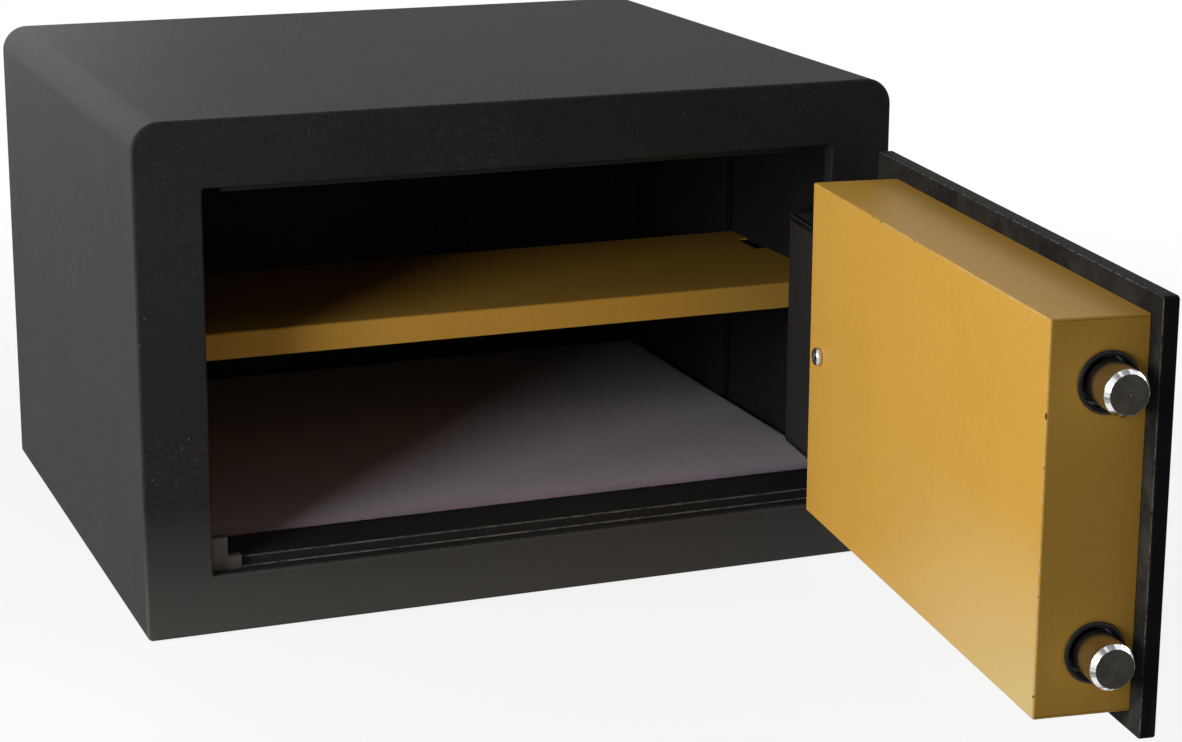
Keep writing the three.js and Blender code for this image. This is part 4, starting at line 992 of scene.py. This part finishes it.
body_skin()
back_plate()
floor_parts()
felt()
shelf_parts()
stops()
hinge_on_body()
door_plate()
door_cover()
cover_screw()
bracket()
bolts()
knob()
key_lock()
pad_housing()
buttons()
batteries_and_lid()
dress(["cover_post", "bolt_guide", "bolt_carriage", "knob_cam", "solenoid_body", "guide_post_upper",
       "guide_post_lower", "lock_tongue"], ZINC)
dress(["solenoid_plunger"], STEEL)
dress(["keypad_board"], BOARD)


# Floor, light and camera
def seen_rays(tree):
    """A socket that is 1 for rays that show the stage: the camera's and those in reflections or glass."""
    path = tree.nodes.new("ShaderNodeLightPath")
    seen = path.outputs["Is Camera Ray"]
    for kind in ("Is Glossy Ray", "Is Transmission Ray"):
        larger = tree.nodes.new("ShaderNodeMath")
        larger.operation = "MAXIMUM"
        tree.links.new(seen, larger.inputs[0])
        tree.links.new(path.outputs[kind], larger.inputs[1])
        seen = larger.outputs[0]
    return seen


def stage_floor():
    """A floor that is white where it is seen, and grey for the light that it sends back to the part."""
    mesh = bpy.data.meshes.new("floor")
    s, z = 30.0, -0.0002
    mesh.from_pydata([(-s, -s, z), (s, -s, z), (s, s, z), (-s, s, z)], [], [[0, 1, 2, 3]])
    obj = bpy.data.objects.new("floor", mesh)
    bpy.context.scene.collection.objects.link(obj)
    look = Look("floor", Roughness=0.9)
    tree = look.tree
    seen = seen_rays(tree)
    shown = look.mix(look.noise(60, 2), (0.9, 0.9, 0.9), (0.915, 0.915, 0.915))
    look.set("Base Color", look.mix(seen, (0.4, 0.4, 0.4), shown))
    glow = look.node("ShaderNodeEmission", {"Color": (1, 1, 1, 1), "Strength": 1.0})
    gap = look.node("ShaderNodeVectorMath", {0: look.coords}, operation="LENGTH").outputs["Value"]
    far = look.band(gap, 0.35, 1.0, 0.82, 1.0)
    share = look.math("MULTIPLY", far, seen)
    mixed = look.node("ShaderNodeMixShader", {"Fac": share})
    tree.links.new(look.shader.outputs[0], mixed.inputs[1])
    tree.links.new(glow.outputs[0], mixed.inputs[2])
    out = next(n for n in tree.nodes if n.type == "OUTPUT_MATERIAL")
    tree.links.new(mixed.outputs[0], out.inputs["Surface"])
    mesh.materials.append(look.mat)


def world_light(level):
    """A background that is white where it is seen, and lights the part with the level given."""
    world = bpy.data.worlds.new("studio")
    bpy.context.scene.world = world
    world.use_nodes = True
    tree = world.node_tree
    tree.nodes.clear()
    out = tree.nodes.new("ShaderNodeOutputWorld")
    mix = tree.nodes.new("ShaderNodeMixShader")
    tree.links.new(seen_rays(tree), mix.inputs["Fac"])
    for index, colour, strength in ((1, (0.98, 0.99, 1.0, 1), level), (2, (1, 1, 1, 1), 1.0)):
        sky = tree.nodes.new("ShaderNodeBackground")
        sky.inputs["Color"].default_value = colour
        sky.inputs["Strength"].default_value = strength
        tree.links.new(sky.outputs[0], mix.inputs[index])
    tree.links.new(mix.outputs[0], out.inputs["Surface"])


def lamp(name, place, aim, size, watts, colour=(1, 1, 1)):
    data = bpy.data.lights.new(name, "AREA")
    data.shape, data.size, data.size_y, data.energy, data.color = "RECTANGLE", size, size, watts, colour
    obj = bpy.data.objects.new(name, data)
    bpy.context.scene.collection.objects.link(obj)
    obj.location = place
    obj.rotation_mode = "QUATERNION"
    obj.rotation_quaternion = (Vector(aim) - Vector(place)).to_track_quat("-Z", "Y")
    obj.visible_camera = False


def photo_camera():
    """The photo's camera: angles in radians, sensor in millimetres, the rest in the photo's pixels."""
    yaw, pitch, roll, focal = 0.37727, 0.24345, 0.00448, 2739.14
    wide, middle, centre, sensor = 1182, 371, 312, 36
    forward = Vector((math.sin(yaw), math.cos(yaw), 0))
    right = Vector((math.cos(yaw), -math.sin(yaw), 0))
    up = Vector((0, 0, 1))
    ahead = forward * math.cos(pitch) - up * math.sin(pitch)
    over = up * math.cos(pitch) + forward * math.sin(pitch)
    side = right * math.cos(roll) + over * math.sin(roll)
    top = over * math.cos(roll) - right * math.sin(roll)
    data = bpy.data.cameras.new("camera")
    data.sensor_width, data.lens = sensor, focal / wide * sensor
    data.shift_y = (centre - middle) / wide
    data.clip_start, data.clip_end = 0.05, 200
    obj = bpy.data.objects.new("camera", data)
    bpy.context.scene.collection.objects.link(obj)
    obj.matrix_world = Matrix.Translation((-0.49944, -1.53369, 0.5181)) @ Matrix(
        (side, top, -ahead)).transposed().to_4x4()
    bpy.context.scene.camera = obj


stage_floor()
world_light(0.045)
lamp("key", (-2.1, -0.36, 0.95), (0.05, -0.1, 0.12), 1.1, 32, (1, 0.97, 0.925))
lamp("front", (-0.74, -0.6, 0.36), (0.1, -0.06, 0.15), 0.26, 3.9)
lamp("top", (-0.2, 0.2, 1.9), (0, 0, 0.2), 1.2, 1.5)
lamp("right", (2.0, -0.3, 0.9), (0.15, -0.1, 0.12), 1.0, 18)
lamp("rear", (-0.3, 2.1, 0.45), (0, 0.1, 0.12), 1.0, 12)
photo_camera()
bpy.context.scene.view_settings.view_transform = "Standard"
